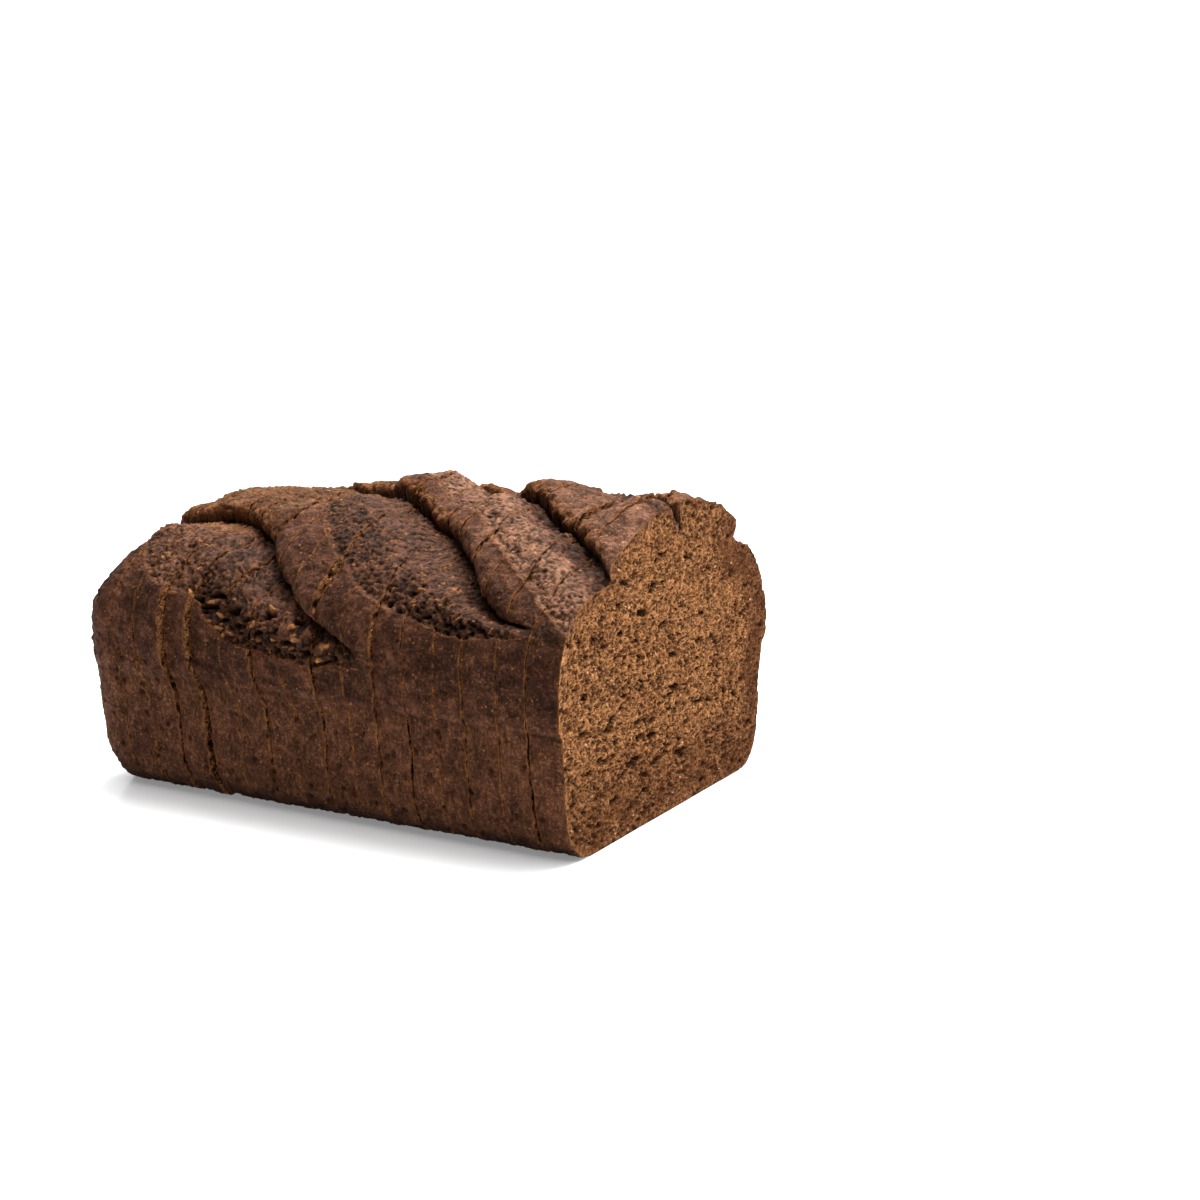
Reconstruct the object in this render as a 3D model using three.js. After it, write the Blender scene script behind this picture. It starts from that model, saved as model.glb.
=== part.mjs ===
// Sliced pan loaf of dark rye bread.
// The loaf stands on its baked bottom with its slices still together: a heel
// and fifteen slices, each one a closed solid of its own, with a thin gap
// between neighbours. Millimetres, +Z up, the loaf's long axis along X, the
// open cut face towards +X and the heel towards -X. The origin is on the
// resting surface under the middle of the loaf.
import * as THREE from 'three';
import { mergeVertices } from 'three/addons/utils/BufferGeometryUtils.js';

// ---- driving dimensions ---------------------------------------------------
const SLICE_T = 11.1;          // pitch of the cuts
const SLICES = 15;             // whole slices after the heel
const HEEL_T = 14.5;           // the rounded end piece
const LOAF_L = HEEL_T + SLICES * SLICE_T;   // 181 mm
const CUT_X = LOAF_L / 2;      // open cut face
const HEEL_X = -LOAF_L / 2;    // outermost point of the heel
const MID_Y = 0.8;             // centres the outline on the origin
const CUT_GAP = 0.36;          // air between two slices
const AROUND = 104;            // facets round one slice
const RINGS = 2;               // steps through one slice
const HEEL_ROUND = 13;         // plan rounding of the heel
const HUB_Z = 46;              // hub of each cut face's fan

// Cross-section of the loaf, bottom left, over the domed top, bottom right.
const OUTLINE = [
  [-50, 0], [-56, 1.2], [-60.5, 4.8], [-63.6, 10.5], [-65.4, 17], [-66.6, 25],
  [-67.6, 33], [-68.4, 41], [-69.3, 50], [-69.3, 57], [-68.3, 63.5],
  [-65.2, 70], [-59.5, 75.6], [-51, 81.6], [-40, 87.6], [-26, 93],
  [-10, 96.3], [6, 97.2], [20, 95.8], [34, 91.6], [46, 85], [57, 76.5],
  [64, 68.5], [68.3, 60.5], [70.6, 52], [70.9, 45.5], [69.0, 39], [67.0, 30],
  [66.0, 20], [64.6, 11], [61.5, 4.8], [57, 1.2], [51, 0],
];
// Height of the dome along the loaf, as distance behind the cut face: scale.
const DOME = [
  [-182, 0.865], [-176, 0.897], [-168, 0.922], [-158, 0.937], [-145, 0.952],
  [-120, 0.988], [-95, 1.015], [-60, 1.02], [-40, 1.02], [-20, 1.012],
  [-8, 0.995], [0, 0.98], [10, 0.97],
];

// The scores: each is a torn bay between its soft edge and its crease, in
// (distance behind the cut face, distance along the outline). depth is how
// far the bay sinks at the crease, lip how far the flap beyond it stands up.
const SCORES = [
  { depth: 5.2, lip: 1.6,
    edge: [[-66, 62], [-72, 61], [-80, 60.4], [-90, 60.3], [-105, 61.3], [-118, 63.3], [-126, 68], [-131, 75], [-136, 79], [-146, 80.5], [-153, 83.5], [-158, 88], [-161, 94], [-163, 101], [-164, 108], [-166, 115], [-170, 124], [-176, 134], [-186, 148]],
    crease: [[-66, 62], [-70, 64.3], [-75, 67], [-85, 74], [-95, 80.5], [-103, 88], [-110, 95], [-120, 103], [-128, 111], [-135, 118.5], [-143, 126], [-152, 133.5], [-163, 142], [-175, 151], [-186, 160]] },
  { depth: 5.4, lip: 1.8,
    edge: [[-8, 79.5], [-14, 77], [-22, 75.3], [-33, 73.6], [-43, 75], [-50, 77], [-60, 79], [-70, 82.5], [-78, 87], [-85, 92.5], [-92, 99.5], [-99, 106.5], [-105, 114], [-111, 121], [-118, 128.5], [-126, 137], [-135, 147], [-146, 159], [-158, 173], [-168, 187], [-174, 200], [-178, 213]],
    crease: [[-8, 79.5], [-12, 81.3], [-20, 83.8], [-30, 88.3], [-40, 94.3], [-46, 99.8], [-52, 105.8], [-60, 112.5], [-68, 120], [-76, 127.5], [-86, 136], [-98, 146], [-112, 158], [-128, 171], [-146, 186], [-164, 201], [-178, 213]] },
  { depth: 5.0, lip: 1.6,
    edge: [[9, 76], [0, 80.5], [-6, 84], [-12, 88.5], [-20, 95], [-30, 103], [-40, 111], [-50, 119], [-60, 127], [-72, 137], [-84, 147], [-97, 158], [-110, 170], [-122, 183], [-131, 197], [-137, 212], [-139, 226]],
    crease: [[9, 104], [0, 111], [-6, 116.3], [-12, 121.5], [-20, 128.7], [-28, 136], [-38, 145], [-50, 155.5], [-64, 167], [-80, 180], [-96, 193], [-112, 206], [-126, 217.5], [-139, 226]] },
  { depth: 5.0, lip: 1.2,
    edge: [[9, 124], [0, 131], [-8, 138.5], [-18, 148], [-30, 158.5], [-42, 169.5], [-54, 182], [-64, 195], [-72, 208], [-78, 220], [-82, 230]],
    crease: [[9, 149], [0, 156.5], [-8, 164], [-18, 172.5], [-30, 183], [-42, 194], [-55, 206.5], [-69, 220], [-82, 230]] },
  { depth: 4.4, lip: 1.0,
    edge: [[9, 214], [0, 218], [-12, 223], [-24, 227], [-36, 229]],
    crease: [[9, 187], [0, 194.5], [-10, 204], [-22, 215], [-36, 229]] },
];

// Side drift of each slice from the loaf's line, heel first.
const DRIFT = [0.25, 0.55, -0.1, 0.45, -0.35, -0.5, 0.1, -0.2, 0.35, 0.1, -0.25, -0.45, 0.2, 0.4, -0.1, 0.15];

// ---- cross-section --------------------------------------------------------
const clamp = (v, a, b) => Math.min(b, Math.max(a, v));
const smooth = (v, a, b) => { const t = clamp((v - a) / (b - a), 0, 1); return t * t * (3 - 2 * t); };
const table = (rows, x) => {
  if (x <= rows[0][0]) return rows[0][1];
  for (let i = 1; i < rows.length; i++) {
    if (x <= rows[i][0]) {
      const t = (x - rows[i - 1][0]) / (rows[i][0] - rows[i - 1][0]);
      return rows[i - 1][1] + t * (rows[i][1] - rows[i - 1][1]);
    }
  }
  return rows[rows.length - 1][1];
};

const outlineCurve = new THREE.CatmullRomCurve3(
  OUTLINE.map(([y, z]) => new THREE.Vector3(y, z, 0)), false, 'centripetal');
const chord = [0];
for (let i = 1; i < OUTLINE.length; i++) {
  chord.push(chord[i - 1] + Math.hypot(OUTLINE[i][0] - OUTLINE[i - 1][0], OUTLINE[i][1] - OUTLINE[i - 1][1]));
}
const TOP_LEN = chord[chord.length - 1];
const BOTTOM_LEN = OUTLINE[OUTLINE.length - 1][0] - OUTLINE[0][0];

// Point of the smooth envelope at distance s along the outline.
function envelope(xRel, s) {
  const q = clamp(s, 0, TOP_LEN);
  let i = 1;
  while (i < chord.length - 1 && chord[i] < q) i++;
  const t = (q - chord[i - 1]) / (chord[i] - chord[i - 1]);
  const p = outlineCurve.getPoint((i - 1 + t) / (OUTLINE.length - 1));
  let z = Math.max(0, p.y);
  const k = table(DOME, xRel);
  if (z > 58) z = 58 + (z - 58) * (1 + (k - 1) * 97 / (97 - 58));
  return [p.x, z];
}

function toPolyline(pts, x, s) {
  let best = Infinity;
  for (let i = 1; i < pts.length; i++) {
    const [ax, as] = pts[i - 1];
    const [bx, bs] = pts[i];
    const dx = bx - ax, ds = bs - as;
    const t = clamp(((x - ax) * dx + (s - as) * ds) / (dx * dx + ds * ds), 0, 1);
    best = Math.min(best, Math.hypot(x - ax - t * dx, s - as - t * ds));
  }
  return best;
}
function inside(poly, x, s) {
  let c = false;
  for (let i = 0, j = poly.length - 1; i < poly.length; j = i++) {
    const [xi, si] = poly[i], [xj, sj] = poly[j];
    if ((si > s) !== (sj > s) && x < ((xj - xi) * (s - si)) / (sj - si) + xi) c = !c;
  }
  return c;
}

// How far the scored crust stands in (-) or out (+) of the envelope. The wall
// at each crease is spread over a few millimetres so the facets can follow it.
const WALL = 2.6;
function relief(xRel, s) {
  let d = 0;
  for (const score of SCORES) {
    const dc = toPolyline(score.crease, xRel, s);
    if (dc > 40) continue;
    const de = toPolyline(score.edge, xRel, s);
    const poly = score.edge.concat([...score.crease].reverse());
    if (inside(poly, xRel, s)) {
      const wide = smooth(de + dc, 2, 16);
      const t = de / (de + dc + 1e-6);
      const floor = -wide * (1.3 * smooth(de, 0, 3) + score.depth * smooth(t, 0.3, 1.0));
      const m = 0.5 + 0.5 * smooth(dc, 0, WALL);
      d += floor * m + score.lip * wide * (1 - m);
    } else if (dc < de) {
      const wide = smooth(de, 2, 16);
      const m = 0.5 + 0.5 * smooth(dc, 0, WALL);
      d += wide * (score.lip * Math.exp(-((dc / 8) ** 2)) * m - (1.3 + score.depth) * (1 - m));
    }
  }
  return d;
}

// Surface point of the loaf at absolute x.
function surface(x, s) {
  const xRel = x - CUT_X;
  const [y, z] = envelope(xRel, s);
  const a = envelope(xRel, s - 0.6);
  const b = envelope(xRel, s + 0.6);
  let ny = -(b[1] - a[1]), nz = b[0] - a[0];
  const n = Math.hypot(ny, nz) || 1;
  ny /= n; nz /= n;
  const d = s > 52 && s < 250 ? relief(xRel, s) : 0;
  return [y + ny * d - MID_Y, Math.max(0, z + nz * d)];
}

// Rounding of the heel: how much the outline draws in near the end.
function heelScale(x) {
  const e = x - HEEL_X;
  if (e >= HEEL_ROUND) return [0, 0];
  const u = 1 - e / HEEL_ROUND;
  const k = 1 - Math.sqrt(Math.max(0, 1 - u * u * 0.94));
  return [k * HEEL_ROUND, k * HEEL_ROUND * 1.25];
}

// The end wall leans in at the bottom, as the pan's does, and at the top.
const endInset = (z) => 5 * (1 - smooth(z, 0, 17)) + 5.5 * smooth(z, 58, 88);

// Ring of surface points round the loaf at x, closed through the flat bottom.
function ringPoint(x, f) {
  const total = TOP_LEN + BOTTOM_LEN;
  const s = f * total;
  let y, z;
  if (s <= TOP_LEN) {
    [y, z] = surface(x, s);
  } else {
    y = OUTLINE[OUTLINE.length - 1][0] - (s - TOP_LEN) - MID_Y;
    z = 0;
  }
  const [dy, dz] = heelScale(x);
  if (dy > 0) {
    const r = Math.hypot(y, z - HUB_Z) || 1;
    // sides draw in evenly; the dome draws in more, the flat bottom stays flat
    y -= (y / r) * dy;
    if (z > HUB_Z) z -= ((z - HUB_Z) / r) * dz;
  }
  return [y, z];
}

// ---- slices ---------------------------------------------------------------
function sliceGeometry(x0, x1, stations, drift, rounded) {
  const rings = stations.length - 1;
  const g = new THREE.CylinderGeometry(1, 1, 1, AROUND, rings, false);
  const pos = g.attributes.position;
  const cache = new Map();
  for (let i = 0; i < pos.count; i++) {
    const px = pos.getX(i), py = pos.getY(i), pz = pos.getZ(i);
    const ring = Math.round((py + 0.5) * rings);
    const x = x0 + stations[ring] * (x1 - x0);
    if (Math.hypot(px, pz) < 0.5) {
      pos.setXYZ(i, x, drift, HUB_Z);
      continue;
    }
    let k = Math.round((Math.atan2(px, pz) / (2 * Math.PI)) * AROUND);
    k = ((k % AROUND) + AROUND) % AROUND;
    const key = ring * AROUND + k;
    if (!cache.has(key)) cache.set(key, ringPoint(x, k / AROUND));
    const [y, z] = cache.get(key);
    const lean = rounded ? (1 - stations[ring]) ** 2 * endInset(z) : 0;
    pos.setXYZ(i, x + lean, y + drift, z);
  }
  g.deleteAttribute('normal');
  g.deleteAttribute('uv');
  const merged = mergeVertices(g, 1e-4);
  // keep the faces pointing out
  const idx = merged.index.array, p = merged.attributes.position;
  let volume = 0;
  const A = new THREE.Vector3(), B = new THREE.Vector3(), C = new THREE.Vector3();
  for (let i = 0; i < idx.length; i += 3) {
    A.fromBufferAttribute(p, idx[i]); B.fromBufferAttribute(p, idx[i + 1]); C.fromBufferAttribute(p, idx[i + 2]);
    volume += A.dot(B.cross(C)) / 6;
  }
  if (volume < 0) {
    for (let i = 0; i < idx.length; i += 3) { const t = idx[i + 1]; idx[i + 1] = idx[i + 2]; idx[i + 2] = t; }
  }
  merged.computeVertexNormals();
  return merged;
}

function bread(color) {
  return new THREE.MeshStandardMaterial({ color, roughness: 0.82, metalness: 0.0 });
}

const loaf = new THREE.Group();
loaf.name = 'sliced_pumpernickel_loaf';

const heelStations = [0, 0.035, 0.12, 0.3, 0.6, 1];
const sliceStations = Array.from({ length: RINGS + 1 }, (_, i) => i / RINGS);
for (let i = 0; i <= SLICES; i++) {
  const x0 = i === 0 ? HEEL_X : HEEL_X + HEEL_T + (i - 1) * SLICE_T + CUT_GAP / 2;
  const x1 = i === SLICES ? CUT_X : HEEL_X + HEEL_T + i * SLICE_T - CUT_GAP / 2;
  const mesh = new THREE.Mesh(
    sliceGeometry(x0, x1, i === 0 ? heelStations : sliceStations, DRIFT[i], i === 0),
    bread(i === 0 ? 0x3b2418 : 0x53331f));
  mesh.name = i === 0 ? 'heel' : `slice_${String(i).padStart(2, '0')}`;
  loaf.add(mesh);
}

export default loaf;
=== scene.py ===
# Sliced pumpernickel loaf: the looks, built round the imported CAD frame.
# Every slice is one closed high-resolution mesh made here in numpy: crust strip,
# two cut faces with real pores, scored top with torn bays and overhanging flaps.
import math

import bpy
import numpy as np
from mathutils import Matrix, Vector, geometry


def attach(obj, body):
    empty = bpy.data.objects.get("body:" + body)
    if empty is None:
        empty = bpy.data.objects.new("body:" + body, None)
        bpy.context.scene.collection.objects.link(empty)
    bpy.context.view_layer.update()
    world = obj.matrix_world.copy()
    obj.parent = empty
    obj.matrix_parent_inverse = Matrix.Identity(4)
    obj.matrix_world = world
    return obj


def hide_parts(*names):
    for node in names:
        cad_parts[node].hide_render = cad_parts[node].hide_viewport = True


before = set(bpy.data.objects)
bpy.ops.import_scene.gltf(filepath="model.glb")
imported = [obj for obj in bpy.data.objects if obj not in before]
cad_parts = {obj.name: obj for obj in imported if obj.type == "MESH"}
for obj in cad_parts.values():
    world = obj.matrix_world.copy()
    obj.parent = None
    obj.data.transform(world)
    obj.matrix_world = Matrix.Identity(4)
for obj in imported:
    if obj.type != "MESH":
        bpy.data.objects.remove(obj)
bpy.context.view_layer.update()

MM = 0.001

# --------------------------------------------------------------------------
# numbers shared with the CAD part, in millimetres
# --------------------------------------------------------------------------
SLICE_T, SLICES, HEEL_T = 11.1, 15, 14.5
LOAF_L = HEEL_T + SLICES * SLICE_T
CUT_X = LOAF_L / 2
HEEL_REL = -LOAF_L            # heel end, measured from the open cut face
MID_Y = 0.8
HEEL_ROUND = 13.0
HUB_Z = 46.0
OUTLINE = np.array([
    (-50, 0), (-56, 1.2), (-60.5, 4.8), (-63.6, 10.5), (-65.4, 17), (-66.6, 25),
    (-67.6, 33), (-68.4, 41), (-69.3, 50), (-69.3, 57), (-68.3, 63.5),
    (-65.2, 70), (-59.5, 75.6), (-51, 81.6), (-40, 87.6), (-26, 93),
    (-10, 96.3), (6, 97.2), (20, 95.8), (34, 91.6), (46, 85), (57, 76.5),
    (64, 68.5), (68.3, 60.5), (70.6, 52), (70.9, 45.5), (69.0, 39), (67.0, 30),
    (66.0, 20), (64.6, 11), (61.5, 4.8), (57, 1.2), (51, 0)], float)
DOME = np.array([
    (-182, 0.865), (-176, 0.897), (-168, 0.922), (-158, 0.937), (-145, 0.952),
    (-120, 0.988), (-95, 1.015), (-60, 1.02), (-40, 1.02), (-20, 1.012),
    (-8, 0.995), (0, 0.98), (10, 0.97)], float)
SCORES = [
    dict(deep=[(-186, 3.0, 0.2), (-165, 4.4, 0.6), (-150, 5.6, 1.4), (-135, 6.4, 2.2), (-115, 6.8, 2.2), (-85, 5.6, 2.6), (-66, 3.0, 1.5)], lip=0.7, side=1,
         edge=[(-66, 62), (-72, 61), (-80, 60.4), (-90, 60.3), (-105, 61.3), (-118, 63.3), (-126, 68), (-131, 75), (-136, 79), (-146, 80.5), (-153, 83.5), (-158, 88), (-163, 93.5), (-168, 99), (-173, 103), (-179, 106), (-187, 108)],
         crease=[(-66, 62), (-70, 64.3), (-75, 67), (-85, 74), (-95, 80.5), (-103, 88.5), (-109, 94.5), (-118, 104), (-128, 115.5), (-137, 124), (-145, 128.5), (-153, 130), (-161, 128), (-169, 126), (-178, 126), (-187, 128)]),
    dict(deep=[(-187, 1.8, 0.2), (-140, 2.8, 0.6), (-110, 5.4, 1.6), (-80, 6.2, 1.8), (-50, 6.6, 2.0), (-22, 6.2, 2.8), (-8, 3.4, 1.8)], lip=0.7, side=1,
         edge=[(-8, 79.5), (-14, 77), (-22, 75.3), (-33, 73.6), (-43, 75), (-50, 77), (-60, 79), (-70, 82.5), (-78, 87), (-85, 92.5), (-92, 99.5), (-99, 106.5), (-105, 114), (-111, 120.5), (-117, 127), (-124, 132.5), (-132, 136), (-142, 137.5), (-152, 138.5), (-161, 137), (-170, 135), (-178, 134.5), (-187, 135)],
         crease=[(-8, 79.5), (-12, 81.3), (-20, 83.8), (-30, 89.3), (-38.6, 98), (-43.6, 104), (-49.2, 109.5), (-56.8, 117), (-64.8, 124), (-73.4, 131), (-84.6, 139), (-98, 148.5), (-112, 159), (-128, 171), (-146, 183), (-166, 194), (-187, 204)]),
    dict(deep=[(-139, 1.8, 0.3), (-100, 4.0, 1.2), (-60, 5.8, 2.2), (-30, 6.4, 2.2), (-14, 5.4, 1.4), (-4, 4.0, 0.5), (9, 3.4, 0.0)], lip=0.4, side=1,
         edge=[(9, 76), (0, 80.5), (-6, 84), (-12, 88.5), (-20, 95), (-30, 103), (-38.6, 111), (-48.2, 119), (-58.2, 127), (-70.8, 137), (-84, 147), (-97, 158), (-110, 170), (-122, 183), (-131, 197), (-137, 212), (-139, 226)],
         crease=[(9, 104), (0, 111), (-6, 116.3), (-12, 121.5), (-20, 128.7), (-28, 136), (-38, 145), (-50, 155.5), (-64, 167), (-80, 180), (-96, 193), (-112, 206), (-126, 217.5), (-139, 226)]),
    dict(deep=[(-82, 1.8, 0.3), (-50, 4.6, 1.2), (-20, 7.4, 2.2), (-8, 7.4, 2.0), (9, 6.4, 0.8)], lip=0.4, side=1,
         edge=[(9, 135.5), (0, 142), (-8, 148), (-18, 156), (-30, 165.5), (-42, 176), (-54, 188), (-64, 200), (-72, 211), (-78, 221.5), (-82, 230)],
         crease=[(9, 151), (0, 158), (-8, 165), (-18, 173.5), (-30, 184), (-42, 195), (-55, 207.5), (-69, 220.5), (-82, 230)]),
    dict(deep=[(-62, 1.6, 0.2), (-30, 3.4, 0.3), (-10, 4.6, 0.5), (9, 4.8, 0.4)], lip=0.3, side=-1,
         edge=[(9, 238), (0, 236), (-12, 234), (-26, 233), (-42, 235), (-62, 241)],
         crease=[(9, 196.5), (0, 200), (-12, 206), (-26, 216), (-42, 226), (-62, 241)]),
]
# where each cut really runs: offset from its nominal place, by height
CUT_OFF = {
    0: [(0, 0.0), (100, 0.0)],
    1: [(7, 0.3), (26, -0.4), (41, -0.2), (61, -0.2), (85, 0.3)],
    2: [(7, 0.6), (25, 0.7), (41, 1.1), (61, 0.9), (85, 0.2)],
    3: [(7, -0.2), (26, 0.0), (41, 0.2), (61, -0.2), (85, 0.4)],
    4: [(7, 0.8), (20, 1.1), (41, 1.5), (61, 1.4), (85, 0.6)],
    5: [(5, 2.2), (12, 1.6), (30, 2.4), (41, 2.2), (61, 1.1), (85, 0.3)],
    6: [(7, 1.6), (12, 1.6), (36, 1.9), (51, 1.6), (75, 1.2), (92, 0.2)],
    7: [(7, 2.2), (22, 3.0), (33, 3.0), (41, 2.2), (51, 1.2), (80, 0.8)],
    8: [(7, 3.0), (20, 3.6), (33, 3.6), (43, 2.3), (51, 1.3), (80, 0.8)],
    9: [(4, 2.8), (10, 3.2), (22, 3.9), (37, 3.9), (42, 1.6), (51, 0.2), (80, 0.2)],
    10: [(7, 3.9), (25, 4.4), (36, 4.3), (42, 1.6), (55, -0.4), (80, 0.6)],
    11: [(7, 3.2), (20, 3.6), (36, 3.5), (42, 1.0), (50, -1.0), (70, 0.4), (90, 2.4)],
    12: [(7, 2.6), (25, 2.3), (38, 1.9), (43, -0.6), (50, -2.4), (62, -2.8), (80, -1.0)],
    13: [(7, 2.0), (24, 2.3), (36, 2.4), (43, 0.4), (50, -1.0), (68, -1.6), (85, -0.6)],
    14: [(7, 2.0), (20, 2.2), (33, 2.1), (41, 0.0), (51, -1.2), (66, -1.8), (85, -0.8)],
    15: [(7, 2.6), (20, 2.8), (32, 2.6), (43, 1.4), (60, 0.4), (85, 0.0)],
}
# half the air at each cut, by height
CUT_AIR = {
    1: [(0, 0.50), (24, 0.42), (40, 0.30), (44, 0.07), (90, 0.04)],
    2: [(0, 0.08), (18, 0.10), (24, 0.22), (31, 0.22), (36, 0.08), (90, 0.04)],
    5: [(0, 0.42), (34, 0.38), (40, 0.18), (44, 0.06), (90, 0.04)],
    8: [(0, 0.07), (44, 0.08), (66, 0.10), (76, 0.30), (88, 0.32), (95, 0.10)],
    10: [(0, 0.07), (26, 0.18), (38, 0.18), (44, 0.07), (90, 0.05)],
    11: [(0, 0.07), (60, 0.05), (84, 0.05), (90, 0.16), (96, 0.16)],
    12: [(0, 0.75), (20, 0.70), (34, 0.62), (39, 0.20), (50, 0.10), (70, 0.14), (90, 0.05)],
    13: [(0, 0.08), (22, 0.18), (32, 0.32), (43, 0.34), (52, 0.16), (70, 0.20), (90, 0.05)],
}
AIR = [(0, 0.07), (50, 0.05), (70, 0.03), (100, 0.03)]
# how each slice has shifted: side drift (mm), sideways tilt (mm over the height), height change (share)
SHIFT = {
    16: (-0.20, 0.0, 0.000), 15: (-0.35, -0.2, 0.000), 14: (-0.70, -0.4, 0.001),
    13: (-0.20, -0.2, 0.001), 12: (0.35, 0.2, 0.002), 11: (-0.10, -0.1, 0.000),
    10: (0.25, 0.1, 0.001), 9: (-0.15, -0.2, 0.002), 8: (0.25, 0.2, -0.001),
    7: (-0.15, -0.2, 0.001), 6: (0.12, 0.1, -0.001), 5: (0.0, 0.0, 0.001),
    4: (-0.18, 0.0, -0.001), 3: (0.08, 0.0, 0.002), 2: (-0.10, 0.0, 0.000),
    1: (0.0, 0.0, 0.0),
}

# --------------------------------------------------------------------------
# noise
# --------------------------------------------------------------------------


def _tables(seed):
    r = np.random.RandomState(seed)
    perm = r.permutation(256).astype(np.int64)
    perm = np.concatenate([perm, perm])
    g = r.normal(size=(256, 3))
    g /= np.linalg.norm(g, axis=1)[:, None]
    return perm, g.astype(np.float32)


_CACHE = {}


def tables(seed):
    if seed not in _CACHE:
        _CACHE[seed] = _tables(seed)
    return _CACHE[seed]


def perlin(P, seed=0):
    """Gradient noise of an (N, 3) or (N, 2) array, about -0.7..0.7."""
    P = np.asarray(P, np.float32)
    if P.shape[1] == 2:
        P = np.concatenate([P, np.full((len(P), 1), 0.37, np.float32)], 1)
    perm, g = tables(seed)
    i = np.floor(P).astype(np.int64)
    f = P - i
    i &= 255
    w = f * f * f * (f * (f * 6 - 15) + 10)
    out = np.zeros(len(P), np.float32)
    for dx in (0, 1):
        a = perm[(i[:, 0] + dx) & 255]
        wx = w[:, 0] if dx else 1 - w[:, 0]
        for dy in (0, 1):
            b = perm[(a + i[:, 1] + dy) & 255]
            wy = w[:, 1] if dy else 1 - w[:, 1]
            for dz in (0, 1):
                c = perm[(b + i[:, 2] + dz) & 255]
                wz = w[:, 2] if dz else 1 - w[:, 2]
                gg = g[c]
                d = gg[:, 0] * (f[:, 0] - dx) + gg[:, 1] * (f[:, 1] - dy) + gg[:, 2] * (f[:, 2] - dz)
                out += wx * wy * wz * d
    return out * 1.5


def fbm(P, octaves=3, seed=0, gain=0.5, lac=2.03):
    P = np.asarray(P, np.float32)
    out = np.zeros(len(P), np.float32)
    a, tot = 1.0, 0.0
    for k in range(octaves):
        out += a * perlin(P, seed + k * 7)
        tot += a
        a *= gain
        P = P * lac + 11.3
    return out / tot


def ridged(P, seed=0):
    return 1.0 - np.minimum(1.0, np.abs(perlin(P, seed)) * 2.4)


def worley(Q, seed=0):
    """F1, F2 and a random number of the nearest cell, for an (N, 2) array."""
    r = np.random.RandomState(seed + 991)
    T = 256
    jit = r.random_sample((T, T, 3)).astype(np.float32)
    i = np.floor(Q).astype(np.int64)
    f = (Q - i).astype(np.float32)
    f1 = np.full(len(Q), 9.0, np.float32)
    f2 = np.full(len(Q), 9.0, np.float32)
    rid = np.zeros(len(Q), np.float32)
    for dx in (-1, 0, 1):
        for dy in (-1, 0, 1):
            j = jit[(i[:, 0] + dx) % T, (i[:, 1] + dy) % T]
            d = np.hypot(dx + j[:, 0] - f[:, 0], dy + j[:, 1] - f[:, 1])
            closer = d < f1
            f2 = np.where(closer, f1, np.minimum(f2, d))
            rid = np.where(closer, j[:, 2], rid)
            f1 = np.where(closer, d, f1)
    return f1, f2, rid


def ss(v, a, b):
    t = np.clip((v - a) / (b - a), 0, 1)
    return t * t * (3 - 2 * t)


# --------------------------------------------------------------------------
# the loaf's envelope
# --------------------------------------------------------------------------


def _outline_table():
    pts = OUTLINE
    n = len(pts)
    seg = np.hypot(*np.diff(pts, axis=0).T)
    chord = np.concatenate([[0], np.cumsum(seg)])
    S, Y, Z = [], [], []
    for i in range(n - 1):
        p1, p2 = pts[i], pts[i + 1]
        p0 = pts[i - 1] if i > 0 else 2 * p1 - p2
        p3 = pts[i + 2] if i + 2 < n else 2 * p2 - p1
        d0, d1, d2 = (np.linalg.norm(p1 - p0) ** 0.5, np.linalg.norm(p2 - p1) ** 0.5, np.linalg.norm(p3 - p2) ** 0.5)
        t1 = ((p1 - p0) / d0 - (p2 - p0) / (d0 + d1) + (p2 - p1) / d1) * d1
        t2 = ((p2 - p1) / d1 - (p3 - p1) / (d1 + d2) + (p3 - p2) / d2) * d1
        for t in np.linspace(0, 1, 24, endpoint=False):
            c = p1 + t1 * t + (-3 * p1 + 3 * p2 - 2 * t1 - t2) * t * t + (2 * p1 - 2 * p2 + t1 + t2) * t ** 3
            S.append(chord[i] + t * seg[i])
            Y.append(c[0])
            Z.append(max(0.0, c[1]))
    S.append(chord[-1])
    Y.append(pts[-1][0])
    Z.append(0.0)
    return np.array(S), np.array(Y), np.array(Z)


TS, TY, TZ = _outline_table()
TOP_LEN = float(TS[-1])
BOTTOM_LEN = float(OUTLINE[-1][0] - OUTLINE[0][0])
TOTAL = TOP_LEN + BOTTOM_LEN


def envelope(X, S):
    """(y, z) of the smooth envelope; S runs on past TOP_LEN along the bottom."""
    Sc = np.clip(S, 0, TOP_LEN)
    y = np.interp(Sc, TS, TY)
    z = np.interp(Sc, TS, TZ)
    k = np.interp(X, DOME[:, 0], DOME[:, 1])
    z = np.where(z > 58, 58 + (z - 58) * (1 + (k - 1) * 97 / (97 - 58)), z)
    over = np.maximum(S - TOP_LEN, 0)
    under = np.maximum(-S, 0)
    y = y - over + under
    return y, z


def envelope_normal(X, S):
    y0, z0 = envelope(X, S - 0.9)
    y1, z1 = envelope(X, S + 0.9)
    ny, nz = -(z1 - z0), (y1 - y0)
    n = np.hypot(ny, nz) + 1e-9
    return ny / n, nz / n


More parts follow.
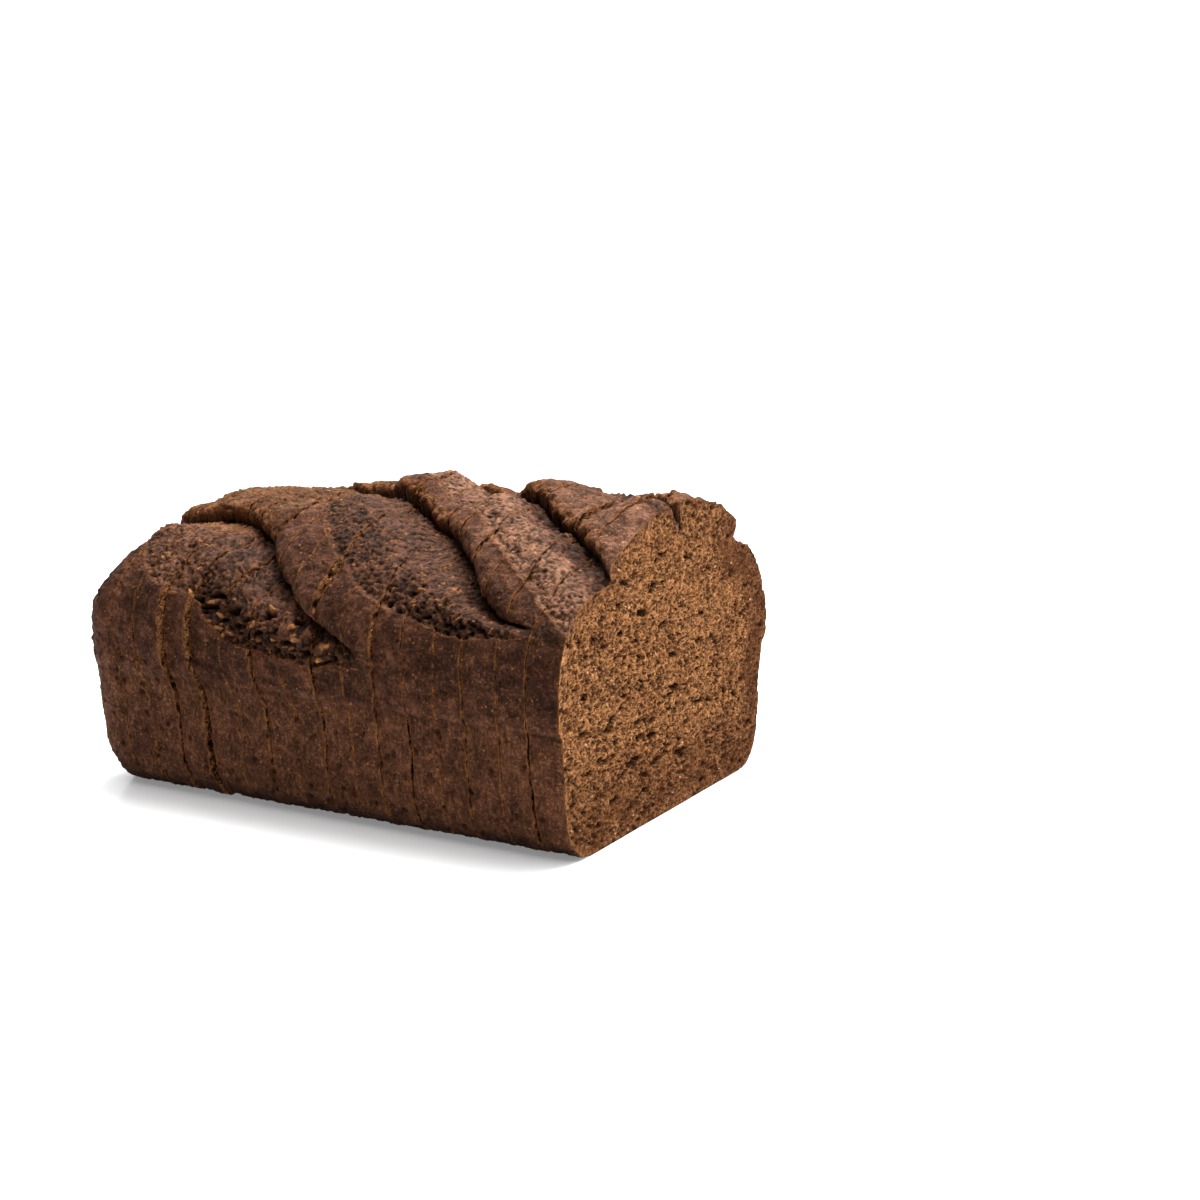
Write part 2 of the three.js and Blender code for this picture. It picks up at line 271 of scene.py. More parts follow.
def to_polyline(pts, X, S):
    """Distance to a polyline, and the share of the way along it."""
    pts = np.asarray(pts, float)
    seg = np.hypot(*np.diff(pts, axis=0).T)
    cum = np.concatenate([[0], np.cumsum(seg)])
    best = np.full(X.shape, 1e9)
    way = np.zeros(X.shape)
    for i in range(len(pts) - 1):
        ax, as_ = pts[i]
        dx, ds = pts[i + 1] - pts[i]
        t = np.clip(((X - ax) * dx + (S - as_) * ds) / (dx * dx + ds * ds), 0, 1)
        d = np.hypot(X - ax - t * dx, S - as_ - t * ds)
        m = d < best
        best = np.where(m, d, best)
        way = np.where(m, (cum[i] + t * seg[i]) / cum[-1], way)
    return best, way


def in_polygon(poly, X, S):
    c = np.zeros(X.shape, bool)
    poly = np.asarray(poly, float)
    j = len(poly) - 1
    for i in range(len(poly)):
        xi, si = poly[i]
        xj, sj = poly[j]
        if si != sj:
            c ^= ((si > S) != (sj > S)) & (X < (xj - xi) * (S - si) / (sj - si) + xi)
        j = i
    return c


def bay_field(score, X, S):
    """What one score does at (X, S): depth, sideways hang, and its masks."""
    dc, way = to_polyline(score["crease"], X, S)
    de, _ = to_polyline(score["edge"], X, S)
    inside = in_polygon(list(score["edge"]) + list(score["crease"])[::-1], X, S)
    wide = ss(np.where(inside, de + dc, de), 1.5, 14)
    deep = np.array(score["deep"])
    D = np.interp(X, deep[:, 0], deep[:, 1])
    H = np.interp(X, deep[:, 0], deep[:, 2])
    t = de / (de + dc + 1e-6)
    floor = -wide * (1.0 * ss(de, 0, 1.8) + D * ss(t, 0.28, 1.0) ** 1.4)
    floor = floor + wide * 1.2 * np.sin(np.pi * np.clip(t / 0.78, 0, 1)) * ss(de, 0, 3.5)
    floor = floor - 1.5 * wide * np.exp(-(dc / 1.5) ** 2) * ss(H, 0.5, 2.0)
    ridge_side = (~inside) & (dc < de)
    q = np.clip(1 - dc / 3.6, 0, 1)
    nose = -3.5 * (1 - np.sqrt(1 - 0.97 * q * q)) * np.clip(D / 5.5, 0, 1.1)
    lip = score["lip"] * ss(dc, 0, 4) * np.exp(-(dc / 9.0) ** 2)
    hang = -score["side"] * wide * H * np.exp(-(dc / 4.2) ** 2)
    rim = 0.25 * np.exp(-(de / 1.4) ** 2) * wide
    d = np.where(inside, floor, np.where(ridge_side, wide * (nose + lip), rim))
    h = np.where(ridge_side, hang, 0.0)
    return dict(d=d, h=h, inside=inside, de=de, dc=dc, t=t, wide=wide, ridge=ridge_side, way=way, nose=q * wide * ridge_side, hang=H)


# how far the left slice of each cut stands proud of the right one, along the outline
STEP = {
    15: [(0, 0.2), (50, 0.3), (80, 0.4), (120, 0.3), (302, 0.2)],
    14: [(0, 0.2), (45, 0.4), (60, 0.7), (90, 0.5), (120, 0.5), (150, 0.3), (302, 0.2)],
    13: [(0, 0.4), (40, 0.6), (48, 1.5), (55, 2.9), (75, 2.8), (84, 0.8), (92, 0.3), (302, 0.2)],
    12: [(0, 0.8), (30, 1.1), (50, 1.7), (55, 2.7), (74, 2.6), (79, 0.8), (83, 1.4), (95, 1.4), (101, 0.4), (120, 0.6), (150, 0.3), (302, 0.2)],
    11: [(0, 0.2), (60, 0.3), (76, 0.3), (80, 1.9), (94, 1.9), (97, 0.4), (103, 2.2), (118, 2.2), (124, 0.4), (150, 0.2), (302, 0.2)],
    10: [(0, 0.2), (44, 0.4), (52, 1.4), (62, 1.7), (68, 0.4), (100, 0.1), (302, 0.2)],
    9: [(0, 0.2), (48, 0.5), (62, 0.6), (70, 0.1), (124, 0.1), (134, 0.5), (150, 0.2), (302, 0.2)],
    8: [(0, 0.2), (45, 0.5), (60, 0.8), (76, 0.8), (81, 2.4), (94, 2.6), (98, 0.2), (130, 0.1), (302, 0.2)],
    7: [(0, 0.2), (60, 0.3), (90, 0.4), (96, 0.1), (130, 0.1), (140, 0.3), (302, 0.2)],
    6: [(0, 0.2), (58, 0.6), (68, 1.5), (84, 1.7), (89, 0.1), (125, 0.1), (135, 0.6), (150, 0.2), (302, 0.2)],
    5: [(0, 0.5), (48, 0.3), (78, 0.4), (84, 0.0), (106, 0.0), (113, 0.8), (122, 0.7), (130, 0.1), (302, 0.2)],
    4: [(0, 0.1), (60, 0.3), (75, 0.4), (80, 0.0), (98, 0.0), (103, 1.2), (114, 1.2), (120, 0.1), (302, 0.2)],
    3: [(0, 0.1), (70, 0.3), (77, 0.0), (92, 0.0), (100, 0.5), (108, 0.3), (112, 0.0), (302, 0.2)],
    2: [(0, 0.1), (62, 0.4), (76, 0.6), (80, 0.1), (85, 0.2), (90, 1.0), (102, 1.1), (106, 0.2), (124, 0.4), (131, 2.6), (146, 2.4), (156, 0.4), (302, 0.2)],
    1: [(0, 0.3), (50, 0.2), (84, 0.4), (100, 0.4), (120, 0.2), (144, 0.5), (151, 2.2), (166, 1.6), (180, 0.3), (302, 0.2)],
}


def step_of(k, S):
    if k not in STEP:
        return np.zeros(S.shape)
    a = np.array(STEP[k])
    v = np.interp(S, a[:, 0], a[:, 1])
    return np.where(v > 0.8, 0.8 + (v - 0.8) * 0.55, v)


# the crown sits lower than the plain envelope over the back
SINK = np.array([(-182, 1.0), (-172, 1.2), (-165, 1.2), (-150, 1.2), (-130, 1.9), (-118, 2.2), (-108, 1.6), (-98, -0.6), (-90, -1.0), (-80, 1.6),
                 (-68, 4.8), (-58, -0.6), (-48, -1.4), (-38, 1.2), (-25, 2.0), (-12, -2.4), (0, -3.2)], float)


def surface(X, S, T=None, j=1):
    """Large shape of the crust at (X, S). Returns (y, z) and the masks that the fine relief and the colours use."""
    P2 = np.stack([X, S], -1)
    wx = 1.1 * perlin(P2 / 11.0, 31) + 0.7 * perlin(P2 / 3.6, 32)
    ws = 1.1 * perlin(P2 / 11.0, 41) + 0.7 * perlin(P2 / 3.6, 42)
    Xw, Sw = X + wx, S + ws
    d = np.zeros(X.shape)
    h = np.zeros(X.shape)
    torn = np.zeros(X.shape)
    near_e = np.full(X.shape, 99.0)
    near_c = np.full(X.shape, 99.0)
    low = np.zeros(X.shape)
    lipm = np.zeros(X.shape)
    tt = np.zeros(X.shape)
    bay = np.zeros(X.shape)
    for k, score in enumerate(SCORES):
        f = bay_field(score, Xw, Sw)
        d += f["d"]
        h += f["h"]
        m = f["inside"] * ss(f["de"], 0.0, 1.1) * ss(f["wide"], 0.02, 0.25)
        torn = np.maximum(torn, m)
        live = f["wide"] > 0.05
        near_e = np.where(live & (k < 5), np.minimum(near_e, f["de"]), near_e)
        near_c = np.where(live & f["inside"], np.minimum(near_c, f["dc"]), near_c)
        low = np.maximum(low, f["inside"] * (1 - ss(f["t"], 0.10, 0.50)) * f["wide"])
        lipm = np.maximum(lipm, f["nose"])
        tt = np.where(f["inside"], f["t"], tt)
        bay = np.where(f["inside"] & (k < 5), k + 1, bay)
    top = ss(S, 50, 58) * (1 - ss(S, 246, 254))
    d += top * 0.8 * perlin(P2 / np.array([15.0, 19.0]), 51)
    d -= np.interp(X, SINK[:, 0], SINK[:, 1]) * ss(S, 116, 146) * (1 - ss(S, 205, 225))
    for rim, sign in ((50.0, 1), (252.5, -1)):
        u = (S - rim) * sign + 0.9 * perlin(P2 / 9.0, 53)
        d += -0.40 * np.exp(-((u + 0.8) / 0.8) ** 2) * (0.6 + 0.8 * perlin(P2 / 7.0, 52))
        d += 0.35 * np.exp(-((u - 3.0) / 2.6) ** 2)
        d -= (0.45 + 0.5 * ss(perlin(P2 / 21.0, 155), -0.1, 0.3)) * (1 - ss(u, -2.2, 0.2)) * ss(u, -40, -12)
    # soft grooves pressed along the band
    for gx, gs, gl, gd in ((-154, 54.3, 5.0, 0.9), (-105, 53.8, 6.5, 0.9), (-92, 52.7, 8.0, 0.8), (-38, 58.0, 6.0, 0.8), (-127, 55.5, 4.0, 0.5), (-66, 54.0, 6.0, 0.5), (-18, 56.0, 5.0, 0.5)):
        sl = 0.16 * (X - gx) * math.sin(gx)
        d -= gd * np.exp(-((X - gx) / gl) ** 2 - ((S - gs - sl) / 1.1) ** 2)
    if T is not None:
        wob = 1 + 0.5 * perlin(P2 / 9.0, 54)
        d += wob * (0.60 * step_of(j - 1, S) * ss(T, 0.15, 1.0) - 0.40 * step_of(j, S) * (1 - ss(T, 0.0, 0.75)))
    Sh = S + np.clip(h, -3.6, 3.6)
    y, z = envelope(X, Sh)
    ny, nz = envelope_normal(X, Sh)
    dd = np.where((S > 0) & (S < TOP_LEN), d * ss(S, 0, 5) * (1 - ss(S, TOP_LEN - 5, TOP_LEN)), 0)
    y = y + ny * dd
    z = z + nz * dd
    pan = np.maximum(1 - ss(S + 0.9 * perlin(P2 / 9.0, 53), 49.0, 50.8), ss(S, 251.5, 253.5))
    return y, z, dict(torn=torn, near_e=near_e, near_c=near_c, low=low, lip=lipm, pan=pan, Xw=Xw, Sw=Sw, t=tt, bay=bay)


# tan bran flakes that lie in the torn bays: (x, s, angle, length, width, height)
def make_flakes():
    r = np.random.RandomState(77)
    out = []
    zones = [
        ((-134, -84, 62, 76), 34, 0.85), ((-165, -136, 82, 118), 40, 0.75),
        ((-134, -70, 64, 100), 16, 0.5), ((-70, -14, 76, 92), 26, 0.6),
        ((-110, -45, 92, 128), 40, 0.5), ((-60, 0, 84, 135), 50, 0.5),
        ((-175, -100, 110, 150), 70, 0.6), ((-60, 0, 125, 165), 40, 0.5),
        ((-160, -10, 150, 225), 150, 0.55), ((-180, 0, 52, 240), 90, 0.4),
    ]
    for (x0, x1, s0, s1), n, size in zones:
        for _ in range(n):
            ang = r.normal(0.1, 0.7)
            ln = r.uniform(1.2, 4.0) * size
            out.append((r.uniform(x0, x1), r.uniform(s0, s1), ang, ln, r.uniform(0.55, 1.0) * (0.6 + 0.4 * size), r.uniform(0.25, 0.75) * size))
    # the big ones that show along the foot of the first bay
    for x, s, ang, ln in ((-142.5, 78.6, 0.05, 5.2), (-134.5, 79.2, -0.7, 4.2), (-126.5, 76.4, 0.25, 5.4), (-122.5, 72.2, -0.3, 3.4),
                          (-105, 76.5, -0.6, 3.6), (-95.5, 71.5, 0.5, 3.0), (-93.5, 67.6, 0.05, 4.6), (-118.5, 67.0, -0.4, 3.6),
                          (-83.5, 66.8, 0.3, 3.0), (-123, 68.0, 0.0, 3.0), (-54, 88.0, 0.1, 3.2), (-86, 62.6, 0.1, 3.0), (-110, 70.2, 0.6, 2.8)):
        out.append((x, s, ang, ln, 1.25, 0.95))
    return np.array(out)


FLAKES = make_flakes()


def flake_field(X, S, torn):
    """Height and colour mask of the flakes at (X, S)."""
    hgt = np.zeros(X.shape)
    msk = np.zeros(X.shape)
    order = np.argsort(X)
    xs = X[order]
    for k, (fx, fs, ang, ln, wd, ht) in enumerate(FLAKES):
        a = np.searchsorted(xs, fx - 3.2)
        b = np.searchsorted(xs, fx + 3.2)
        idx = order[a:b]
        if not len(idx):
            continue
        dx, ds = X[idx] - fx, S[idx] - fs
        near = (np.abs(ds) < 3.2)
        idx, dx, ds = idx[near], dx[near], ds[near]
        if not len(idx):
            continue
        u = dx * math.cos(ang) + ds * math.sin(ang)
        v = -dx * math.sin(ang) + ds * math.cos(ang) + 0.08 * u * u * math.sin(k)
        q = np.sqrt((u / (ln / 2)) ** 2 + (v / (wd / 2)) ** 2)
        m = 1 - ss(q, 0.62, 1.15)
        if k < len(FLAKES) - 13:
            m = m * np.where(k % 7 == 0, 1.0, torn[idx])
        hgt[idx] = np.maximum(hgt[idx], m * ht)
        dull = 1.0 if k >= len(FLAKES) - 13 and k % 2 else 0.30 + 0.55 * abs(math.sin(7.3 * k))
        msk[idx] = np.maximum(msk[idx], m * dull)
    return hgt, msk


# the deepest pits of the honeycomb: (x, s, half length along x, half length along s, depth)
PITS = [(-117.0, 74.2, 2.3, 1.9, 3.0), (-126.5, 74.6, 3.2, 1.1, 2.6), (-105.0, 74.2, 2.2, 1.9, 2.8), (-95.0, 73.6, 1.5, 1.9, 2.6), (-125.0, 78.4, 3.4, 1.2, 2.0),
        (-88.4, 67.4, 1.5, 2.4, 2.6), (-108.5, 68.2, 1.5, 1.2, 2.2), (-89.5, 64.0, 1.8, 1.1, 2.0), (-115.2, 69.6, 1.6, 1.2, 2.0), (-101.4, 69.4, 1.3, 1.6, 2.0),
        (-97.0, 66.4, 1.6, 1.0, 1.8), (-120.6, 71.0, 1.4, 1.0, 1.8), (-131.5, 77.0, 1.8, 1.0, 1.8), (-111.8, 72.0, 1.1, 1.2, 1.8), (-80.0, 63.4, 1.7, 0.9, 1.6),
        (-48.5, 79.5, 1.5, 1.1, 2.0), (-44.0, 85.0, 1.1, 1.6, 1.6), (-63.5, 82.5, 1.2, 1.0, 1.5), (-40.5, 78.0, 2.0, 0.9, 2.0), (-34.5, 78.0, 1.6, 1.0, 1.8),
        (-56.5, 86.5, 1.4, 1.2, 1.6), (-59.0, 80.4, 1.3, 0.9, 1.5), (-52.5, 81.6, 1.0, 1.0, 1.5), (-28.5, 77.4, 1.4, 0.8, 1.5), (-146.0, 100.0, 1.5, 1.0, 1.2)]


def crust_relief(P, X, S, m):
    """Fine relief of the crust in mm along its normal, and the masks for its colour."""
    torn, pan = m["torn"], m["pan"]
    smooth_crust = (1 - torn) * (1 - pan)
    P2 = np.stack([X, S], -1)
    Xw = X + 2.2 * perlin(P2 / 16.0, 61)
    Sw = S + 2.2 * perlin(P2 / 16.0, 62)
    # smooth upper crust: soft wrinkles, small blisters and pricks
    w1 = ridged(np.stack([(Xw * 0.8 + Sw * 0.6) / 3.4, (Sw * 0.8 - Xw * 0.6) / 9.0], -1), 63)
    g1 = perlin(P / 1.9, 65)
    g2 = perlin(P / 0.95, 60)
    b1, _, bid = worley(np.stack([Xw / 4.2, Sw / 4.2], -1), 57)
    prick = (1 - ss(b1, 0.04, 0.15)) * (bid > 0.82)
    blister = (1 - ss(b1, 0.05, 0.34)) * (bid < 0.18)
    knob = 0.34 + 0.20 * ss(S, 78, 96) + 0.45 * ss(X, -60, -20) * ss(S, 84, 100)
    d_up = ((0.45 + 0.45 * ss(S, 84, 100)) * fbm(P / 8.0, 2, 64) - 0.24 * ss(w1, 0.78, 1.0) + 0.26 * g1 + 0.17 * g2 + knob * perlin(P / 3.4, 156)
            - 0.5 * prick + 0.30 * blister)
    # pan side: upright wrinkles, grain, dimples
    q = np.stack([Xw / 1.6 + 0.10 * Sw, Sw / 5.6], -1)
    w2 = perlin(q, 66) * 0.6 + perlin(q * 2.1 + 5.0, 67) * 0.4
    f1, f2, rid = worley(np.stack([Xw / 6.2, Sw / 6.6], -1), 68)
    dim = (1 - ss(f1, 0.03, 0.10 + 0.16 * rid)) * (rid > 0.60)
    f1b, _, ridb = worley(np.stack([Xw / 2.1, Sw / 2.6], -1), 69)
    dim2 = (1 - ss(f1b, 0.06, 0.30)) * (ridb > 0.62)
    d_pan = (0.34 * w2 + 0.42 * fbm(P / 6.5, 2, 70) + 0.30 * perlin(P / 1.5, 71) + 0.16 * g2
             - 0.9 * dim - 0.40 * dim2)
    # torn bays: pulled strands, grain, and holes near the soft edge
    first = (m["bay"] == 1)
    th = np.radians(np.where(first, 113.0, 58.0))
    ct, st = np.cos(th), np.sin(th)
    bend = 3.2 * perlin(P2 / 17.0, 72) + 0.7 * perlin(P2 / 6.0, 73)
    al = X * ct + S * st
    ac = -X * st + S * ct + bend
    patch = ss(perlin(P2 / 10.0, 80), -0.20, 0.20)
    strand = ss(m["t"], 0.28, 0.50) * np.where(first, (0.40 + 0.60 * patch) * (1 - ss(-X, 130, 144)), np.where(m["bay"] == 2, 0.10 + 0.40 * patch, 0.05 + 0.20 * patch))
    r1 = ridged(np.stack([ac / 1.5, al / 7.5], -1), 74)
    r2 = ridged(np.stack([ac / 0.9, al / 4.2], -1), 75)
    grit = fbm(P / 1.5, 2, 157)
    c5, _, cid5 = worley(P[:, :2] / 1.45 + 0.4 * grit[:, None], 158)
    crumbs = (1 - ss(c5, 0.10, 0.46)) * (cid5 > 0.72)
    n1 = fbm(P / 2.6, 2, 76)
    n2 = perlin(P / 1.05, 59)
    h1, h2, hid = worley(np.stack([X / 2.7 + 0.9 * n1, S / 2.3 - 0.8 * n1], -1), 77)
    hole = (1 - ss(h1, 0.08, 0.20 + 0.30 * hid)) * (hid > 0.30)
    h3, _, hid3 = worley(np.stack([X / 1.5, S / 1.35], -1), 78)
    hole2 = (1 - ss(h3, 0.08, 0.40)) * (hid3 > 0.40)
    cl1, _, clid = worley(np.stack([X / 1.9 + 3, S / 1.7], -1), 58)
    clod = (1 - ss(cl1, 0.10, 0.52)) * (clid > 0.35)
    lowm = m["low"]
    # the open honeycomb shows most in the first bay and at the front foot of the second
    lowk = np.where(first, 1.0 - 0.85 * ss(-X, 130, 142), np.where(m["bay"] == 2, 0.12 + 0.88 * ss(X, -66, -44), 0.10))
    wall = ss(m["t"], 0.60, 0.85) * (m["bay"] >= 3) + ss(m["t"], 0.70, 0.9) * (m["bay"] == 2) * ss(-X, 60, 80)
    d_torn = (0.8 * fbm(P / 8.5, 2, 79) + 0.46 * n1 + 0.20 * n2
              + strand * (1.00 * (r1 - 0.5) + 0.60 * (r2 - 0.5))
              + (1 - 0.7 * strand) * (0.08 * clod + 0.75 * grit + 0.42 * crumbs + 0.34 * (ridged(P / 2.4, 55) - 0.5))
              + wall * (1.5 * perlin(P / 3.0, 159) + 0.7 * perlin(P / 1.4, 160))
              - 2.1 * hole * lowm * lowk - 0.80 * hole2 * (0.12 + 0.88 * lowm * lowk))
    d_torn = d_torn * (0.55 + 0.45 * ss(m["near_c"], 0.5, 3.0))
    fh, fm = flake_field(X, S, torn)
    rough = np.clip(1.6 * m["lip"], 0, 1) * np.maximum(ss(S, 112, 128), ss(-X, 118, 128)) * (1 - ss(S, 240, 250)) * (1 - torn)
    d_rough = 1.4 * perlin(P / 2.8, 151) + 0.5 * perlin(P / 1.2, 152)
    pit = np.zeros(X.shape)
    for (px, ps, rx, rs, dp) in PITS:
        near = np.abs(X - px) < 6
        q = np.sqrt(((X[near] - px) / rx) ** 2 + ((S[near] - ps) / rs) ** 2) + 0.35 * n2[near]
        b = 1 - ss(q, 0.55, 1.15)
        pit[near] = np.maximum(pit[near], b)
        d_torn[near] = d_torn[near] - dp * b
    pit = pit * torn
    fm = fm * (1 - 0.8 * pit)
    d = smooth_crust * d_up + pan * d_pan + torn * (1 - pan) * d_torn + fh * np.maximum(torn, 0.4) + rough * d_rough
    # painted shade in the hollows: pits, holes, gaps between strands, dimples, pricks and wrinkle grooves are marked
    # darker
    cav = np.clip(pit + torn * (1 - pan) * (1.0 * hole * lowm * lowk + 0.50 * hole2 * (0.15 + lowm * lowk) + strand * 0.30 * (1 - ss(r1, 0.15, 0.65)))
                  + pan * (0.75 * dim + 0.45 * dim2) + smooth_crust * (0.6 * prick + 0.20 * ss(w1, 0.86, 1.0)), 0, 1) * (1 - fm)
    # painted highlight and shade: raised strands and crumbs of the torn bays are marked lighter, their hollows darker
    high = np.clip(torn * (0.5 + 0.75 * (strand * 1.3 * (r1 - 0.5) + strand * 0.9 * (r2 - 0.5) + (1 - strand) * (0.25 * clod + 0.55 * crumbs + 1.3 * grit - 0.12) + 0.4 * n2)), 0, 1)
    low_out = m["low"] * lowk
    bay = m["bay"]
    # painted light: the crust is lighter over the top of the crown and lighter still on its front ridge; the rest of
    # the tone is random variation and wear
    tone = 1.0 + 0.32 * ss(S, 96, 118) * (1 - ss(S, 215, 235)) + 0.62 * ss(X, -58, -18) * ss(S, 104, 122) * (1 - ss(S, 215, 235))
    tone = tone + 0.16 * ss(-X, 150, 165) * ss(S, 70, 100) * (1 - ss(S, 215, 235))
    # each bay has its own level; the third and fourth darken towards their creases as painted shade
    tone = np.where(bay == 1, 0.76 + 0.26 * ss(-X, 126, 150), tone)
    tone = np.where(bay == 2, 0.82 - 0.10 * ss(X, -60, -35) * (1 - ss(S, 95, 110)), tone)
    tone = np.where(bay == 3, 1.70 - 1.22 * ss(m["t"] + 0.10 * n1, 0.50, 0.74), tone)
    tone = np.where(bay == 4, 0.72 - 0.30 * ss(m["t"], 0.25, 0.70), tone)
    # scuffed line left by the rim of the tin, and the shadow under it
    for rim, sign in ((50.0, 1), (252.5, -1)):
        u = (S - rim) * sign + 0.9 * perlin(P2 / 9.0, 53)
        worn = ss(perlin(P2 / np.array([17.0, 40.0]), 163), -0.25, 0.25)
        tone = tone * (1 + 0.38 * worn * np.exp(-((u - 0.9) / 0.9) ** 2)) * (1 - 0.34 * np.exp(-((u + 1.3) / 1.1) ** 2))
    tone = tone * (1 + 0.30 * perlin(P2 / 13.0, 154) + 0.25 * perlin(P2 / np.array([5.0, 3.4]), 162))
    return d, cav, fm, high, strand * torn, al, ac, rough, low_out, tone


# pores of the open cut face that are large enough to place: (y, z, half width, half height, tilt)
BIG_PORES = [(-37.4, 36.6, 1.9, 2.0, 0.2), (-11.1, 27.9, 3.0, 1.7, 0.0), (-23.3, 22.5, 5.2, 1.2, 0.0), (-15.4, 10.8, 3.8, 1.0, 0.0), (-8.1, 18.5, 4.1, 1.0, 0.1),
             (9.4, 17.4, 3.2, 1.0, 0.1), (3.5, 50.6, 3.0, 0.8, -0.1), (-17.3, 67.9, 3.0, 1.4, -0.2), (-4.1, 61.4, 3.4, 1.0, 0.2), (-32.7, 73.1, 2.4, 0.8, 0.0),
             (47.8, 57.9, 1.7, 2.2, -0.3), (30.0, 50.8, 2.0, 1.1, 0.0), (44.2, 69.0, 1.5, 1.9, -0.3), (-36.8, 53.5, 1.5, 1.3, 0.3), (-52.9, 61.8, 1.0, 1.2, 0.2),
             (5.2, 39.5, 4.2, 1.1, -0.15), (-54.3, 14.3, 1.2, 1.4, 0.0), (-33.9, 13.4, 1.7, 1.3, 0.0), (-50.3, 25.5, 2.6, 0.8, 0.0), (13.1, 26.3, 2.2, 0.8, 0.0),
             (23.4, 59.8, 1.7, 1.3, 0.0), (21.1, 51.3, 2.5, 0.8, 0.1), (-14.1, 15.5, 2.0, 0.7, 0.0), (-27.3, 42.8, 2.0, 0.7, 0.2), (23.0, 31.0, 2.2, 0.8, 0.0),
             (-39.8, 27.1, 1.9, 0.9, 0.0), (-19.7, 53.6, 2.0, 0.7, -0.1), (39.8, 30.4, 1.5, 1.3, 0.0), (-43.5, 64.9, 1.6, 0.7, 0.3), (-20.0, 84.0, 1.6, 0.8, 0.3),
             (12.0, 80.0, 2.4, 0.8, -0.2), (28.0, 74.0, 1.8, 1.1, -0.3), (40.0, 12.0, 2.6, 0.9, 0.0), (25.0, 9.0, 2.2, 0.8, 0.0), (-45.0, 8.0, 1.6, 0.9, 0.1)]


def crumb_relief(Y, Z, dist, seed, fine):
    """Depth of the open crumb in mm (0 is the cut plane, negative goes in) and its masks."""
    P2 = np.stack([Y, Z], -1)
    # the cells lie flat low down and stand along the sides
    side = ss(np.abs(Y - 0.5), 24, 56) * ss(Z, 10, 30)
    ang = np.where(side > 0.5, 1.35, 0.15) + 0.7 * perlin(P2 / 17.0, 80 + seed)
    ca, sa = np.cos(ang), np.sin(ang)
    jit = perlin(P2 / 2.6, 82 + seed)
    U = Y * ca + Z * sa + 0.6 * jit
    W = -Y * sa + Z * ca + 0.6 * perlin(P2 / 2.6, 84 + seed)
    # big turns break the pattern up, so blend two fixed directions instead of following ang everywhere
    a1, a2, ar = worley(np.stack([Y / 4.4 + 0.30 * jit, Z / 2.1 + 0.08 * Y], -1), 85 + seed)
    b1, b2, br = worley(np.stack([Y / 2.3 + 0.30 * jit, Z / 3.3 + 0.2 * jit], -1), 86 + seed)
    ra, rb = 0.10 + 0.26 * ar, 0.10 + 0.26 * br
    pa = (1 - ss(a1 / ra, 0.70, 1.15)) * (ar > 0.18)
    pb = (1 - ss(b1 / rb, 0.70, 1.15)) * (br > 0.18)
    pore = pa * (1 - side) + pb * side
    c1, c2, cr = worley(np.stack([Y / 2.3 - 0.3 * jit, Z / 1.35 + 0.2 * jit], -1), 87 + seed)
    small = (1 - ss(c1 / (0.16 + 0.20 * cr), 0.6, 1.2)) * (cr > 0.25)
    e1, e2, er = worley(np.stack([Y / 9.5 + 0.2 * jit, Z / 5.0 + 0.1 * jit], -1), 88 + seed)
    re = 0.10 + 0.10 * er
    big = (1 - ss((e1 + 0.04 * jit) / re, 0.7, 1.1)) * (er > 0.66)
    net = ridged(P2 / np.array([2.9, 1.7]), 92 + seed)
    vary = (0.35 + 0.85 * ss(perlin(P2 / 9.0, 93 + seed), -0.35, 0.35)) * (1.0 - 0.35 * ss(Z, 42, 62))
    pore, small = pore * vary, small * vary
    net2 = ridged(P2 / np.array([1.7, 1.15]) + 0.35 * jit[:, None], 94 + seed)
    slit = 1 - ss(net2, 0.10, 0.52)
    d = -0.90 * pore - 0.38 * small - 1.7 * big - 0.36 * (1 - ss(net, 0.30, 0.80)) - 0.42 * slit
    m_big = big.copy()
    if fine:
        for (py, pz, ry, rz, tilt) in BIG_PORES:
            u = (Y - py) * math.cos(tilt) + (Z - pz) * math.sin(tilt)
            v = -(Y - py) * math.sin(tilt) + (Z - pz) * math.cos(tilt)
            q = np.sqrt((u / ry) ** 2 + (v / rz) ** 2) + 0.30 * perlin(P2 / 1.1, 89)
            b = 1 - ss(q, 0.80, 1.08)
            d = np.minimum(d, -3.0 * b)
            m_big = np.maximum(m_big, b)
    d += 0.50 * fbm(P2 / 1.5, 2, 90 + seed) + 0.30 * perlin(P2 / 12.0, 91 + seed)
    fade = ss(dist, 0.0, 0.8)
    dense = 0.60 + 0.40 * ss(dist, 1.0, 6.0)
    # painted shade in the pores, cells, slits and troughs of the crumb
    cav = np.clip(0.80 * pore + 0.45 * small + 1.0 * m_big + 0.22 * (1 - ss(net, 0.3, 0.8)) + 0.34 * slit, 0, 1) * fade
    return d * fade * dense, cav


# --------------------------------------------------------------------------
# one slice
# --------------------------------------------------------------------------


def rows_of_s():
    """Places along the outline: fine over the scored top, coarser below."""
    k = 1.0
    parts = [
        np.arange(0, 52, 0.50 * k), np.arange(52, 242, 0.38 * k), np.arange(242, TOP_LEN, 0.60 * k),
        np.linspace(TOP_LEN, TOTAL, int(round(BOTTOM_LEN / (1.4 * k))), endpoint=False)]
    return np.concatenate(parts)


ROWS = rows_of_s()


def cut_line(j, z):
    off = np.array(CUT_OFF[j])
    return -SLICE_T * j + np.interp(z, off[:, 0], off[:, 1])


def cut_air(j, z):
    a = np.array(CUT_AIR.get(j, AIR))
    return np.interp(z, a[:, 0], a[:, 1])


def cut_wave(j, Y, Z):
    """A bread knife never leaves a true plane."""
    if j == 0:
        return 0.22 * perlin(np.stack([Y / 34.0, Z / 26.0], -1), 200)
    return 0.10 * perlin(np.stack([Y / 30.0, Z / 22.0], -1), 200 + j) + 1.2 * np.exp(-(Y / 30.0) ** 2)


